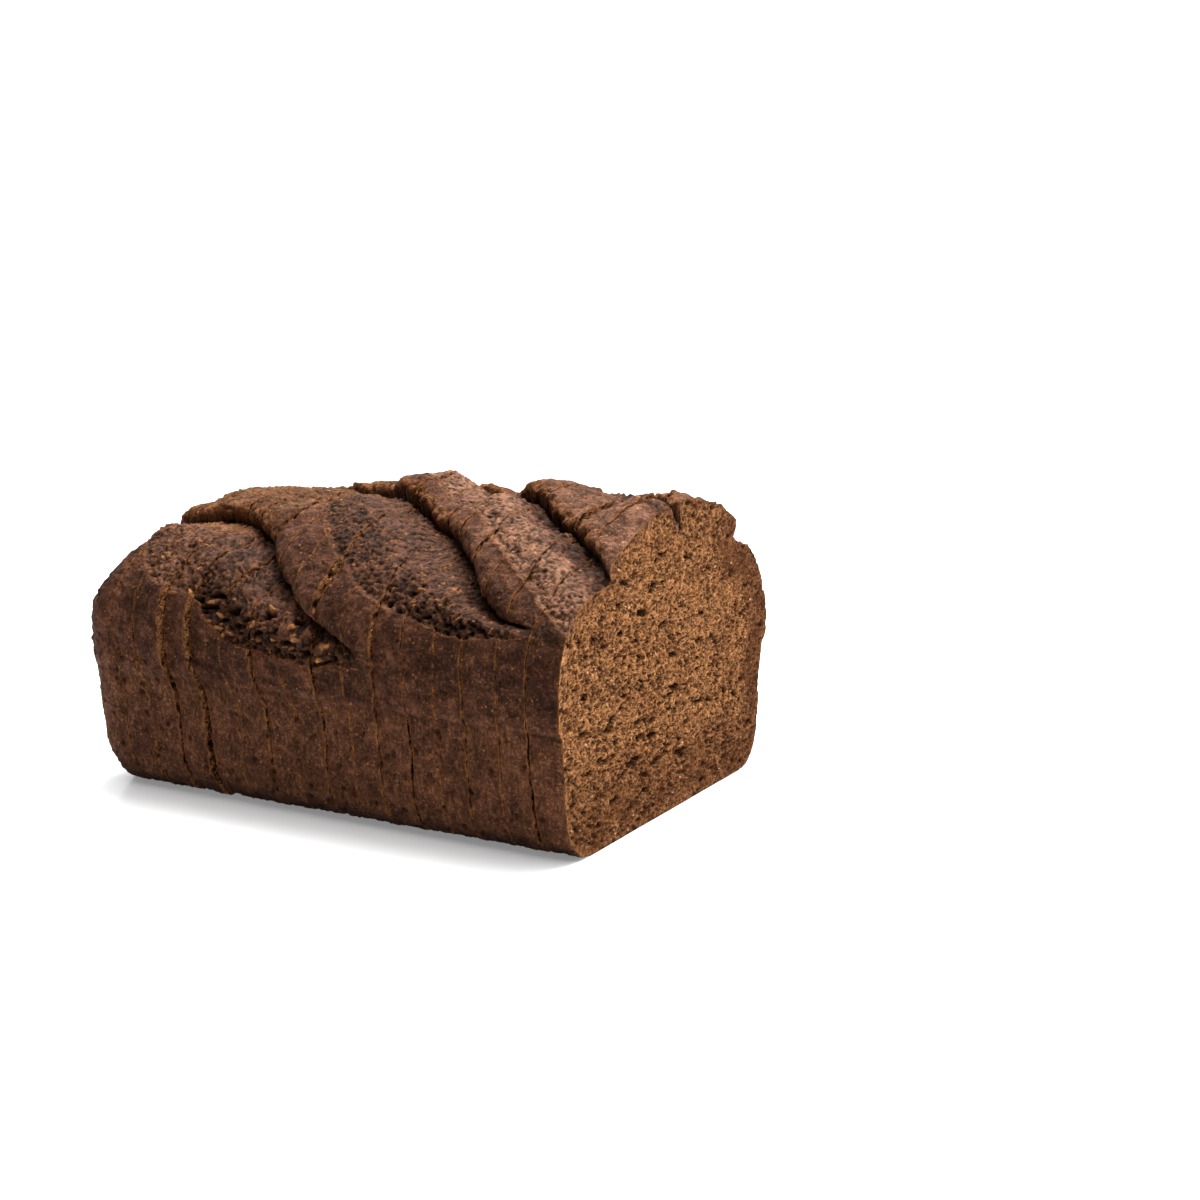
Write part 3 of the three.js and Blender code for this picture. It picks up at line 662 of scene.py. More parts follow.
def heel_scale(e):
    u = np.clip(1 - e / HEEL_ROUND, 0, 1)
    k = 1 - np.sqrt(np.maximum(0, 1 - u * u * 0.94))
    return np.where(e < HEEL_ROUND, k * HEEL_ROUND, 0), np.where(e < HEEL_ROUND, k * HEEL_ROUND * 1.25, 0)


def end_inset(z):
    return 5 * (1 - ss(z, 0, 17)) + 5.5 * ss(z, 58, 88)


def distance_to_loop(Q, loop):
    """Distance of each (N, 2) point to a closed loop."""
    a = loop
    b = np.roll(loop, -1, axis=0)
    ab = (b - a).astype(np.float32)
    L = (ab ** 2).sum(1) + 1e-12
    out = np.empty(len(Q), np.float32)
    for i in range(0, len(Q), 3000):
        p = Q[i:i + 3000, None, :].astype(np.float32) - a[None].astype(np.float32)
        t = np.clip((p * ab[None]).sum(-1) / L[None], 0, 1)
        r = p - t[..., None] * ab[None]
        out[i:i + 3000] = np.sqrt((r ** 2).sum(-1)).min(1)
    return out


def fill_loop(loop, h):
    """Triangles and quads that fill a closed loop of (y, z) points: a square grid inside, stitched to the loop by a Delaunay band.
    Returns the new inner points and the faces, whose indices below len(loop) are the loop's own points."""
    n = len(loop)
    lo, hi = loop.min(0), loop.max(0)
    gy = np.arange(lo[0] + 0.5 * h, hi[0], h)
    gz = np.arange(lo[1] + 0.5 * h, hi[1], h)
    a, b = loop, np.roll(loop, -1, axis=0)
    inside = np.zeros((len(gz), len(gy)), bool)
    for r, z in enumerate(gz):
        m = (a[:, 1] > z) != (b[:, 1] > z)
        x = np.sort(a[m, 0] + (z - a[m, 1]) / (b[m, 1] - a[m, 1]) * (b[m, 0] - a[m, 0]))
        for k in range(0, len(x) - 1, 2):
            inside[r] |= (gy > x[k]) & (gy < x[k + 1])
    YY, ZZ = np.meshgrid(gy, gz)
    pts = np.stack([YY, ZZ], -1)
    dist = np.zeros(inside.shape, np.float32)
    dist[inside] = distance_to_loop(pts[inside], loop)
    keep = inside & (dist > 0.55 * h)
    cell = keep[:-1, :-1] & keep[1:, :-1] & keep[:-1, 1:] & keep[1:, 1:]
    used = np.zeros(keep.shape, bool)
    used[:-1, :-1] |= cell
    used[1:, :-1] |= cell
    used[:-1, 1:] |= cell
    used[1:, 1:] |= cell
    idx = np.full(keep.shape, -1, np.int64)
    idx[used] = n + np.arange(used.sum())
    inner = pts[used]
    inner_d = dist[used]
    r, c = np.nonzero(cell)
    quads = np.stack([idx[r, c], idx[r, c + 1], idx[r + 1, c + 1], idx[r + 1, c]], -1)
    # boundary edges of the grid part
    e = np.concatenate([quads[:, [0, 1]], quads[:, [1, 2]], quads[:, [2, 3]], quads[:, [3, 0]]])
    key = np.sort(e, 1)
    _, first, count = np.unique(key[:, 0] * 10_000_000 + key[:, 1], return_index=True, return_counts=True)
    stair = e[first[count == 1]]
    ids = np.unique(stair)
    back = {int(v): n + i for i, v in enumerate(ids)}
    P = [Vector((float(p[0]), float(p[1]))) for p in loop] + [Vector((float(p[0]), float(p[1]))) for p in inner[ids - n]]
    E = [(i, (i + 1) % n) for i in range(n)] + [(back[int(u)], back[int(v)]) for u, v in stair]
    V, _, F, ov, _, _ = geometry.delaunay_2d_cdt(P, E, [], 0, 1e-7)
    extra = []
    name = []
    for k, o in enumerate(ov):
        if len(o):
            q = min(o)
            name.append(q if q < n else int(ids[q - n]))
        else:
            name.append(n + len(inner) + len(extra))
            extra.append((V[k][0], V[k][1]))
    VV = np.array([(v[0], v[1]) for v in V])
    T = np.array([f[:3] for f in F if len(f) == 3])
    cen = VV[T].mean(1)
    ok = in_polygon(loop, cen[:, 0], cen[:, 1])
    ci = np.floor((cen[:, 0] - gy[0]) / h).astype(int)
    cj = np.floor((cen[:, 1] - gz[0]) / h).astype(int)
    valid = (ci >= 0) & (cj >= 0) & (ci < cell.shape[1]) & (cj < cell.shape[0])
    incell = np.zeros(len(cen), bool)
    incell[valid] = cell[cj[valid], ci[valid]]
    T = T[ok & ~incell]
    name = np.array(name)
    tris = name[T]
    # counter-clockwise in (y, z)
    allp = np.concatenate([loop, inner, np.array(extra).reshape(-1, 2)])
    q = allp[tris]
    area = (q[:, 1, 0] - q[:, 0, 0]) * (q[:, 2, 1] - q[:, 0, 1]) - (q[:, 2, 0] - q[:, 0, 0]) * (q[:, 1, 1] - q[:, 0, 1])
    tris = tris[np.abs(area) > 1e-9]
    area = area[np.abs(area) > 1e-9]
    tris[area < 0] = tris[area < 0][:, ::-1]
    if extra:
        inner = np.concatenate([inner, np.array(extra)])
        inner_d = np.concatenate([inner_d, np.zeros(len(extra), np.float32)])
    return inner, inner_d, quads, tris


def vertex_normals(V, quads, tris):
    N = np.zeros_like(V)
    for F in (quads, tris):
        if not len(F):
            continue
        a, b, c = V[F[:, 0]], V[F[:, 1]], V[F[:, 2]]
        if F.shape[1] == 4:
            nn = np.cross(V[F[:, 2]] - a, V[F[:, 3]] - b)
        else:
            nn = np.cross(b - a, c - a)
        for k in range(F.shape[1]):
            np.add.at(N, F[:, k], nn)
    return N / (np.linalg.norm(N, axis=1)[:, None] + 1e-12)


def make_piece(j):
    """One slice, counted from the open cut face (1) to the heel (16). Returns everything its mesh needs."""
    heel = j == SLICES + 1
    M = len(ROWS)
    cols = (27) if not heel else (42)
    t = np.linspace(0, 1, cols)
    if not heel:
        # closer columns at the two cut edges
        t = t + 0.035 * np.sin(2 * np.pi * t) * -1
    else:
        t = t ** 1.35
    T, S = np.meshgrid(t, ROWS)          # (M, cols)
    T, S = T.ravel(), S.ravel()
    x_right_nom = -SLICE_T * (j - 1)
    x_left_nom = -SLICE_T * j if not heel else HEEL_REL
    Xn = x_left_nom + T * (x_right_nom - x_left_nom)
    y, z, m = surface(Xn, S, T, j)
    # bottom points: flat, then the sides
    if heel:
        e = Xn - HEEL_REL
        dy, dz = heel_scale(e)
        r = np.hypot(y, z - HUB_Z) + 1e-9
        y2 = y - MID_Y
        y = y - (y2 / r) * dy
        z = z - np.where(z > HUB_Z, (z - HUB_Z) / r * dz, 0)
    z = np.maximum(z, 0)
    if heel:
        xl = np.full(z.shape, HEEL_REL)
    else:
        xl = cut_line(j, z) + cut_air(j, z) + cut_wave(j, y, z) + 0.50 * ss(step_of(j, S), 0.85, 1.45) * (0.7 + 0.6 * perlin(np.stack([S / 3.0, Xn * 0], -1), 161))
    xr = cut_line(j - 1, z) - (cut_air(j - 1, z) if j > 1 else 0) + cut_wave(j - 1, y, z)
    x = xl + T * (xr - xl)
    if heel:
        x = x + (1 - T) ** 2 * end_inset(z)
    V = np.stack([x, y, z], -1)
    grid = np.arange(M * cols).reshape(M, cols)
    nxt = np.roll(grid, -1, axis=0)
    strip = np.stack([grid[:, :-1], grid[:, 1:], nxt[:, 1:], nxt[:, :-1]], -1).reshape(-1, 4)
    # orient outwards: S runs up the left side, so x then S points to -Y, outwards
    left, right = grid[:, 0], grid[:, -1]
    faces = {}
    Vs, quads, tris = [V], [strip], []
    base = len(V)
    kinds = [np.zeros(len(strip), int)]
    tkinds = []
    info = {}
    for name, ring, side in (("right", right, 1), ("left", left, -1)):
        loop = V[ring][:, 1:]
        if name == "right" and j == 1:
            h = 0.45
        elif name == "left" and heel:
            h = 0.8
        else:
            h = 1.15
        # the loop runs up the left side and over to the right: clockwise seen from +X with y to the right, so flip it for filling
        lp = loop[::-1]
        ring_r = ring[::-1]
        inner, dist, q, tr = fill_loop(lp, h)
        n = len(lp)
        remap = np.concatenate([ring_r, base + np.arange(len(inner))])
        q, tr = remap[q], remap[tr]
        if side < 0:
            q, tr = q[:, ::-1], tr[:, ::-1]
        Y, Z = inner[:, 0], inner[:, 1]
        if name == "left" and heel:
            xx = HEEL_REL + end_inset(Z)
        elif name == "left":
            xx = cut_line(j, Z) + cut_air(j, Z) + cut_wave(j, Y, Z)
        else:
            xx = cut_line(j - 1, Z) - (cut_air(j - 1, Z) if j > 1 else 0) + cut_wave(j - 1, Y, Z)
        Vi = np.stack([xx, Y, Z], -1)
        info[name] = (base, base + len(inner), dist, Y, Z, side)
        Vs.append(Vi)
        base += len(inner)
        quads.append(q)
        tris.append(tr)
        kinds.append(np.full(len(q), 1 if side > 0 else 2))
        tkinds.append(np.full(len(tr), 1 if side > 0 else 2))
    V = np.concatenate(Vs)
    quads = np.concatenate(quads)
    tris = np.concatenate(tris)
    kinds = np.concatenate(kinds)
    tkinds = np.concatenate(tkinds)
    N = vertex_normals(V, quads, tris)
    nv = len(V)
    # strip detail
    ns = M * cols
    P = V[:ns].copy()
    d, cav_s, fleck_s, high_s, strand_s, al_s, ac_s, rough_s, low_s, tone_and_painted_light_s = crust_relief(P, Xn, S, m)
    edge_t = np.minimum(T, 1 - T) * SLICE_T if not heel else (1 - T) * HEEL_T
    Ns = N[:ns].copy()
    win = ss(edge_t, 0.0, 1.2)
    Ns[:, 0] *= win
    Ns /= np.linalg.norm(Ns, axis=1)[:, None] + 1e-9
    bottom = S >= TOP_LEN - 6
    d = np.where(S >= TOP_LEN, np.abs(d) * 0.25, d)
    # a cut edge breaks away a little
    crumble = 0.09 + 0.16 * perlin(np.stack([Xn / 1.5, S / 1.7], -1), 101 + j)
    d = d - crumble * np.exp(-(edge_t / 0.28) ** 2) * (S < TOP_LEN)
    V[:ns] += Ns * d[:, None]
    # attributes
    cav = np.zeros(nv)
    crumb = np.zeros(nv)
    pan = np.zeros(nv)
    torn = np.zeros(nv)
    edge = np.zeros(nv)
    fleck = np.zeros(nv)
    high = np.zeros(nv)
    strand = np.zeros(nv)
    low = np.zeros(nv)
    nose = np.zeros(nv)
    along = np.zeros(nv)
    across = np.zeros(nv)
    depth = np.full(nv, 0.0)
    rim = np.zeros(nv)
    cav[:ns] = cav_s
    pan[:ns] = m["pan"] * (S < TOP_LEN) + (S >= TOP_LEN)
    torn[:ns] = m["torn"] * (1 - m["pan"])
    fleck[:ns] = fleck_s
    high[:ns] = high_s
    strand[:ns] = strand_s
    low[:ns] = low_s
    tone = np.ones(nv)
    tone[:ns] = tone_and_painted_light_s
    nose[:ns] = m['lip']
    along[:ns] = al_s
    across[:ns] = ac_s
    n_e = perlin(np.stack([Xn / 1.3, S / 3.1], -1), 111)
    e_cut = np.exp(-(edge_t / 0.32) ** 2) * np.clip(0.55 + 1.1 * n_e, 0, 1) * (1 - 0.45 * m['torn'])
    rimline = np.exp(-(m["near_e"] / 0.45) ** 2) * np.clip(0.7 + 1.2 * perlin(np.stack([Xn / 2.6, S / 2.6], -1), 112), 0, 1) * (1 - m["pan"])
    edge[:ns] = np.clip(np.maximum(np.maximum(e_cut, 0.7 * rimline), 0.75 * rough_s * np.clip(0.5 + 1.2 * perlin(P / 1.6, 153), 0, 1)), 0, 1)
    # painted shade: darker deep in the torn bays near their creases, and along two thin cracks that the mesh does not
    # carve
    ao = np.exp(-(m["near_c"] / 2.6) ** 2)
    shade = np.zeros(nv)
    crack = to_polyline([(-11.2, 48.3), (-6, 48.5), (-4.5, 49.6), (-3.5, 48.2), (0, 47.6)], Xn, S)[0]
    crack2 = to_polyline([(-10.5, 21.7), (-7.2, 20.0)], Xn, S)[0]
    crack_m = np.maximum(np.exp(-(crack / 0.42) ** 2), 0.7 * np.exp(-(crack2 / 0.4) ** 2))
    shade[:ns] = np.clip(ao * m["torn"] + 0.9 * crack_m, 0, 1)
    for name, (b0, b1, dist, Y, Z, side) in info.items():
        if name == "left" and heel:
            Pc = V[b0:b1]
            dd = 0.34 * fbm(Pc / 9.0, 2, 64) + 0.22 * fbm(Pc / 2.4, 3, 66)
            f1, f2, rid = worley(np.stack([Y / 5.0, Z / 5.0], -1), 68)
            dim = (1 - ss(f1, 0.05, 0.16 + 0.16 * rid)) * (rid > 0.6)
            rim_z = 41.0
            dd = dd - 0.6 * dim - 0.4 * np.exp(-((Z - rim_z + 1) / 0.8) ** 2)
            V[b0:b1] += N[b0:b1] * dd[:, None]
            pan[b0:b1] = 1 - ss(Z, rim_z - 0.8, rim_z + 0.6)
            # painted shade in the dimples of the heel's end
            cav[b0:b1] = 0.5 * dim
            continue
        seed = 7 * j + (3 if side > 0 else 0)
        dd, cv = crumb_relief(Y, Z, dist, 0 if (j == 1 and side > 0) else seed, j == 1 and side > 0)
        if j > 1 or side < 0:
            dd = np.minimum(dd, 0.05)
        V[b0:b1, 0] += side * dd
        crumb[b0:b1] = 1.0
        cav[b0:b1] = cv
        if j == 1 and side > 0:
            w = 2.2 * perlin(np.stack([Y / 5.0, Z / 7.0], -1), 160)
            dark = 0.80 * (1 - ss(dist + w, 7.0, 20.0)) * ss(Y, 22, 45)
            dark = np.maximum(dark, 0.55 * (1 - ss(dist + w, 0.5, 5.0)) * ss(Z, 66, 78))
            dark = np.maximum(dark, 0.65 * (1 - ss(Z + 2 * w, 6.0, 34.0)))
            dark = np.maximum(dark, 0.35 * (1 - ss(dist, 0.2, 1.8)) * ss(Y, -10, 10))
            depth[b0:b1] = dark
            rim[b0:b1] = (1 - ss(dist + 0.5 * w, 0.5, 2.0)) * ss(-Y, 18, 40) * (1 - ss(Z, 78, 90))
    # the slice's own shift
    dy, tilt, dh = SHIFT[j]
    yy = V[:, 1] + dy + tilt * (V[:, 2] - 50) / 50.0
    zz = V[:, 2] * (1 + dh)
    x_out = V[:, 0] + CUT_X
    out = np.stack([x_out, yy - MID_Y, np.maximum(zz, 0)], -1)
    # UVs for the bake: two discs and a strip folded in two, on a 212 mm square
    SQ = 212.0
    uvq = np.zeros((len(quads), 4, 2))
    uvt = np.zeros((len(tris), 3, 2))
    Tm = np.zeros(nv)
    Sm = np.zeros(nv)
    Tm[:ns] = T
    Sm[:ns] = S
    wid = SLICE_T + 0.6 if not heel else HEEL_T + 4
    half = TOTAL / 2

    def disc(F, right_side):
        yv, zv = V[F, 1], V[F, 2]
        u = 75.0 + yv * 0.985
        v = 2.0 + zv * 0.98 + (0 if right_side else 105.0)
        return np.stack([u, v], -1)

    rows = quads[:len(strip)]
    su = Tm[rows] * wid
    sv = Sm[rows].copy()
    wrap = (sv.max(1) - sv.min(1)) > TOTAL / 2
    sv[wrap] = np.where(sv[wrap] < TOTAL / 2, sv[wrap] + TOTAL, sv[wrap])
    second = sv.min(1) >= half - 1e-6
    sv = np.where(second[:, None], sv - half, sv)
    su = su + 150.0 + np.where(second[:, None], wid + 3.0, 0)
    uvq[:len(strip)] = np.stack([su, 3.0 + sv], -1)
    for k, rs in ((1, True), (2, False)):
        mq = kinds == k
        uvq[mq] = disc(quads[mq], rs)
        mt = tkinds == k
        uvt[mt] = disc(tris[mt], rs)
    return dict(V=out * MM, quads=quads, tris=tris, uvq=uvq / SQ, uvt=uvt / SQ,
                a_crumb=crumb, a_cav=cav, a_pan=pan, a_torn=torn, a_edge=edge, a_fleck=fleck,
                a_high=high, a_depth=depth, a_shade=shade, a_strand=strand, a_low=low, a_nose=nose,
                a_along=along, a_across=across, a_tone=tone, a_rim=rim)


def to_object(name, g):
    me = bpy.data.meshes.new(name)
    V, quads, tris = g["V"], g["quads"], g["tris"]
    nq, nt = len(quads), len(tris)
    me.vertices.add(len(V))
    me.vertices.foreach_set("co", V.astype(np.float32).ravel())
    me.loops.add(nq * 4 + nt * 3)
    me.loops.foreach_set("vertex_index", np.concatenate([quads.ravel(), tris.ravel()]).astype(np.int32))
    me.polygons.add(nq + nt)
    start = np.concatenate([np.arange(nq) * 4, nq * 4 + np.arange(nt) * 3]).astype(np.int32)
    me.polygons.foreach_set("loop_start", start)
    me.polygons.foreach_set("use_smooth", np.ones(nq + nt, bool))
    me.update(calc_edges=True)
    uv = me.uv_layers.new(name="OFBake")
    uv.data.foreach_set("uv", np.concatenate([g["uvq"].reshape(-1, 2), g["uvt"].reshape(-1, 2)]).astype(np.float32).ravel())
    for key in g:
        if key.startswith("a_"):
            at = me.attributes.new(key[2:], "FLOAT", "POINT")
            at.data.foreach_set("value", g[key].astype(np.float32))
    me.validate(verbose=False)
    ob = bpy.data.objects.new(name, me)
    bpy.context.scene.collection.objects.link(ob)
    return ob


# --------------------------------------------------------------------------
# materials
# --------------------------------------------------------------------------


def lin(r, g, b):
    def f(c):
        c /= 255.0
        return c / 12.92 if c <= 0.04045 else ((c + 0.055) / 1.055) ** 2.4
    return (f(r), f(g), f(b), 1.0)


# colours, as they would be picked from a picture
UP_DARK, UP_LIGHT, UP_DEEP, UP_SPECK = (68, 40, 27), (96, 59, 41), (42, 22, 13), (138, 90, 62)
SIDE_DARK, SIDE_LIGHT, SIDE_DEEP, SIDE_PALE = (78, 45, 27), (104, 63, 38), (38, 19, 10), (144, 93, 58)
TORN_DARK, TORN_LIGHT, TORN_DEEP, TORN_PALE, TORN_TAN = (56, 31, 20), (112, 71, 49), (30, 15, 9), (138, 92, 66), (158, 104, 66)
CRUMB_DARK, CRUMB_MID, CRUMB_PALE, CRUMB_DEEP = (120, 72, 37), (167, 110, 65), (210, 153, 106), (54, 27, 12)


class Nodes:
    def __init__(self, mat):
        mat.use_nodes = True
        self.nt = mat.node_tree
        self.nt.nodes.clear()

    def new(self, kind, **props):
        n = self.nt.nodes.new(kind)
        for k, v in props.items():
            setattr(n, k, v)
        return n

    def link(self, a, b):
        self.nt.links.new(a, b)

    def put(self, sock, v):
        if hasattr(v, "is_output") or hasattr(v, "links"):
            self.link(v, sock)
        else:
            sock.default_value = v

    def math(self, op, a, b=None, c=None, clamp=False):
        n = self.new("ShaderNodeMath", operation=op, use_clamp=clamp)
        for i, v in enumerate((a, b, c)):
            if v is not None:
                self.put(n.inputs[i], v)
        return n.outputs[0]

    def mix(self, fac, a, b, blend="MIX"):
        n = self.new("ShaderNodeMix", data_type="RGBA", blend_type=blend, clamp_factor=True)
        self.put(n.inputs["Factor"], fac)
        self.put(n.inputs[6], a)
        self.put(n.inputs[7], b)
        return n.outputs[2]

    def mixf(self, fac, a, b):
        n = self.new("ShaderNodeMix", data_type="FLOAT", clamp_factor=True)
        self.put(n.inputs["Factor"], fac)
        self.put(n.inputs[2], a)
        self.put(n.inputs[3], b)
        return n.outputs[0]

    def ramp(self, v, a, b, lo=0.0, hi=1.0):
        n = self.new("ShaderNodeMapRange", interpolation_type="SMOOTHSTEP", clamp=True)
        self.put(n.inputs["Value"], v)
        n.inputs["From Min"].default_value = a
        n.inputs["From Max"].default_value = b
        n.inputs["To Min"].default_value = lo
        n.inputs["To Max"].default_value = hi
        return n.outputs["Result"]

    def attr(self, name):
        n = self.new("ShaderNodeAttribute", attribute_type="GEOMETRY", attribute_name=name)
        return n.outputs["Fac"]

    def mapping(self, vec, scale, loc=(0, 0, 0), rot=(0, 0, 0)):
        n = self.new("ShaderNodeMapping")
        self.link(vec, n.inputs["Vector"])
        n.inputs["Scale"].default_value = scale
        n.inputs["Location"].default_value = loc
        n.inputs["Rotation"].default_value = rot
        return n.outputs["Vector"]

    def noise(self, vec, scale, detail=3.0, rough=0.55, distortion=0.0):
        n = self.new("ShaderNodeTexNoise", noise_dimensions="3D")
        self.link(vec, n.inputs["Vector"])
        n.inputs["Scale"].default_value = scale
        n.inputs["Detail"].default_value = detail
        n.inputs["Roughness"].default_value = rough
        n.inputs["Distortion"].default_value = distortion
        return n.outputs["Fac"]

    def voronoi(self, vec, scale, feature="F1", out="Distance", rand=1.0):
        n = self.new("ShaderNodeTexVoronoi", voronoi_dimensions="3D", feature=feature)
        self.link(vec, n.inputs["Vector"])
        n.inputs["Scale"].default_value = scale
        n.inputs["Randomness"].default_value = rand
        return n.outputs[out]


def bread_material(name):
    mat = bpy.data.materials.new(name)
    N = Nodes(mat)
    tc = N.new("ShaderNodeTexCoord")
    mm = N.mapping(tc.outputs["Object"], (1000, 1000, 1000))      # millimetres
    crumb, cav, pan, torn = N.attr("crumb"), N.attr("cav"), N.attr("pan"), N.attr("torn")
    edge, fleck, high, depth, shade = N.attr("edge"), N.attr("fleck"), N.attr("high"), N.attr("depth"), N.attr("shade")
    strand, low, nose = N.attr("strand"), N.attr("low"), N.attr("nose")

    # ---- crust colour
    big = N.noise(mm, 1 / 24.0, 2, 0.5)
    med = N.noise(mm, 1 / 5.0, 4, 0.6)
    fine = N.noise(mm, 1 / 1.0, 4, 0.68)
    grain = N.noise(mm, 1 / 0.42, 2, 0.6)
    up = N.mix(N.ramp(med, 0.38, 0.62), lin(*UP_DARK), lin(*UP_LIGHT))
    up = N.mix(N.ramp(big, 0.42, 0.66, 0.0, 0.55), up, lin(*UP_DEEP))
    up = N.mix(N.ramp(fine, 0.51, 0.68, 0.0, 0.62), up, lin(*UP_SPECK))
    up = N.mix(N.ramp(fine, 0.48, 0.33, 0.0, 0.65), up, lin(*UP_DEEP))
    up = N.mix(N.ramp(grain, 0.46, 0.32, 0.0, 0.55), up, lin(*UP_DEEP))
    up = N.mix(N.ramp(grain, 0.57, 0.74, 0.0, 0.40), up, lin(*UP_SPECK))
    side = N.mix(N.ramp(med, 0.30, 0.70), lin(*SIDE_DARK), lin(*SIDE_LIGHT))
    st = N.mapping(mm, (1 / 1.2, 1 / 1.2, 1 / 3.4))
    streak = N.noise(st, 1.0, 4, 0.62)
    side = N.mix(N.ramp(streak, 0.50, 0.70, 0.0, 0.60), side, lin(*SIDE_PALE))
    side = N.mix(N.ramp(streak, 0.44, 0.26, 0.0, 0.85), side, lin(*SIDE_DEEP))
    side = N.mix(N.ramp(fine, 0.51, 0.63, 0.0, 0.80), side, lin(*SIDE_PALE))
    side = N.mix(N.ramp(grain, 0.45, 0.32, 0.0, 0.90), side, lin(*SIDE_DEEP))
    fib = N.new("ShaderNodeCombineXYZ")
    N.link(N.math("MULTIPLY", N.attr("across"), 1.0), fib.inputs[0])
    N.link(N.math("MULTIPLY", N.attr("along"), 0.26), fib.inputs[1])
    fibre = N.noise(fib.outputs[0], 1.35, 4, 0.66)
    tn = N.noise(mm, 1 / 1.5, 5, 0.66)
    # painted highlight: raised bits of the torn bays lighter, their hollows darker
    trn = N.mix(N.ramp(high, 0.20, 0.72), lin(*TORN_DARK), lin(*TORN_LIGHT))
    tl = N.math("ADD", N.math("MULTIPLY", tn, N.math("SUBTRACT", 1.0, strand)), N.math("MULTIPLY", fibre, strand))
    trn = N.mix(N.ramp(tl, 0.48, 0.68, 0.0, 0.62), trn, lin(*TORN_PALE))
    trn = N.mix(N.ramp(tl, 0.48, 0.32, 0.0, 0.80), trn, lin(*TORN_DEEP))
    trn = N.mix(N.ramp(fine, 0.56, 0.72, 0.0, 0.55), trn, lin(*TORN_TAN))
    trn = N.mix(N.math("MULTIPLY", low, 0.35), trn, lin(*TORN_DEEP))
    ox = N.new("ShaderNodeSeparateXYZ")
    N.link(mm, ox.inputs[0])
    back = N.math("MULTIPLY", N.ramp(ox.outputs[0], -12.0, -50.0),
                  N.math("MULTIPLY", N.ramp(ox.outputs[1], -40.0, -22.0), N.ramp(ox.outputs[1], 42.0, 16.0)))
    trn = N.mix(N.math("MULTIPLY", back, N.ramp(fine, 0.35, 0.60, 0.20, 0.62)), trn, lin(152, 100, 56))
    crust = N.mix(pan, up, side)
    crust = N.mix(N.math("MULTIPLY", N.math("MULTIPLY", back, 0.30), N.ramp(fine, 0.40, 0.60)), crust, lin(150, 98, 56))
    crust = N.mix(torn, crust, trn)
    # painted shade: the crust is darker towards the bottom of the loaf
    oz = N.new("ShaderNodeSeparateXYZ")
    N.link(mm, oz.inputs[0])
    foot = N.math("ADD", oz.outputs[2], N.math("MULTIPLY", N.math("SUBTRACT", med, 0.5), 5.0))
    crust = N.mix(N.ramp(foot, 9.0, 1.0, 0.0, 0.85), crust, lin(30, 15, 9))
    # the crust is scaled by its tone attribute, which holds painted light on the crown and painted shade in the bays
    # besides real tone, and which also sets the saturation
    tn_c = N.new("ShaderNodeCombineColor")
    mot = N.noise(mm, 1 / 4.2, 6, 0.70)
    motv = N.noise(N.mapping(mm, (1 / 2.6, 1 / 2.6, 1 / 7.5)), 1.0, 5, 0.68)
    mo = N.math("MULTIPLY", N.attr("tone"), N.mixf(pan, N.ramp(mot, 0.38, 0.62, 0.68, 1.38), N.ramp(motv, 0.38, 0.62, 0.80, 1.24)))
    sat = N.ramp(N.attr("tone"), 1.05, 1.65)
    for k, (a, b, c) in enumerate(((0.60, 0.55, 0.69), (0.615, 0.59, 0.83), (0.65, 0.74, 0.95))):
        N.link(N.math("MULTIPLY", mo, N.mixf(pan, N.mixf(sat, a, c), b)), tn_c.inputs[k])
    crust = N.mix(1.0, crust, tn_c.outputs[0], "MULTIPLY")
    # specks of bran baked in the crust
    sp = N.voronoi(mm, 1 / 2.6)
    spn = N.noise(mm, 1 / 3.7, 1, 0.5)
    spm = N.math("MULTIPLY", N.ramp(sp, 0.19, 0.10), N.ramp(spn, 0.52, 0.60))
    crust = N.mix(N.math("MULTIPLY", spm, 0.60), crust, lin(150, 98, 60))
    et = N.noise(mm, 1 / 0.7, 3, 0.6)
    edge_c = N.mix(N.ramp(et, 0.35, 0.65), lin(92, 54, 27), lin(158, 102, 54))
    crust = N.mix(N.math("MULTIPLY", edge, N.ramp(et, 0.25, 0.60, 0.35, 1.0)), crust, edge_c)
    crust = N.mix(fleck, crust, N.mix(N.ramp(et, 0.3, 0.7), lin(124, 77, 42), lin(186, 128, 78)))
    # painted shade in the hollows of the crust
    crust = N.mix(N.math("MULTIPLY", cav, 0.90), crust, lin(22, 10, 6))
    # painted shade from the shade mask
    crust = N.mix(N.math("MULTIPLY", shade, 0.85), crust, lin(22, 12, 8))

    # ---- crumb colour
    cm = N.mapping(mm, (1.0, 0.56, 1.0))
    cw = N.noise(cm, 1 / 1.4, 5, 0.70)
    cf = N.noise(cm, 1 / 0.62, 3, 0.72)
    cb = N.noise(mm, 1 / 15.0, 2, 0.5)
    cr = N.mix(N.ramp(cw, 0.34, 0.64), lin(*CRUMB_DARK), lin(*CRUMB_MID))
    cr = N.mix(N.ramp(cf, 0.50, 0.66, 0.0, 0.85), cr, lin(*CRUMB_PALE))
    cr = N.mix(N.ramp(cf, 0.47, 0.33, 0.0, 0.85), cr, lin(*CRUMB_DEEP))
    cr = N.mix(N.ramp(cb, 0.42, 0.64, 0.0, 0.42), cr, lin(*CRUMB_DARK))
    warp = N.new("ShaderNodeVectorMath", operation="ADD")
    wn = N.new("ShaderNodeTexNoise")
    N.link(cm, wn.inputs["Vector"])
    wn.inputs["Scale"].default_value = 1 / 1.3
    wv = N.new("ShaderNodeVectorMath", operation="SCALE")
    N.link(wn.outputs["Color"], wv.inputs[0])
    wv.inputs["Scale"].default_value = 1.5
    N.link(cm, warp.inputs[0])
    N.link(wv.outputs[0], warp.inputs[1])
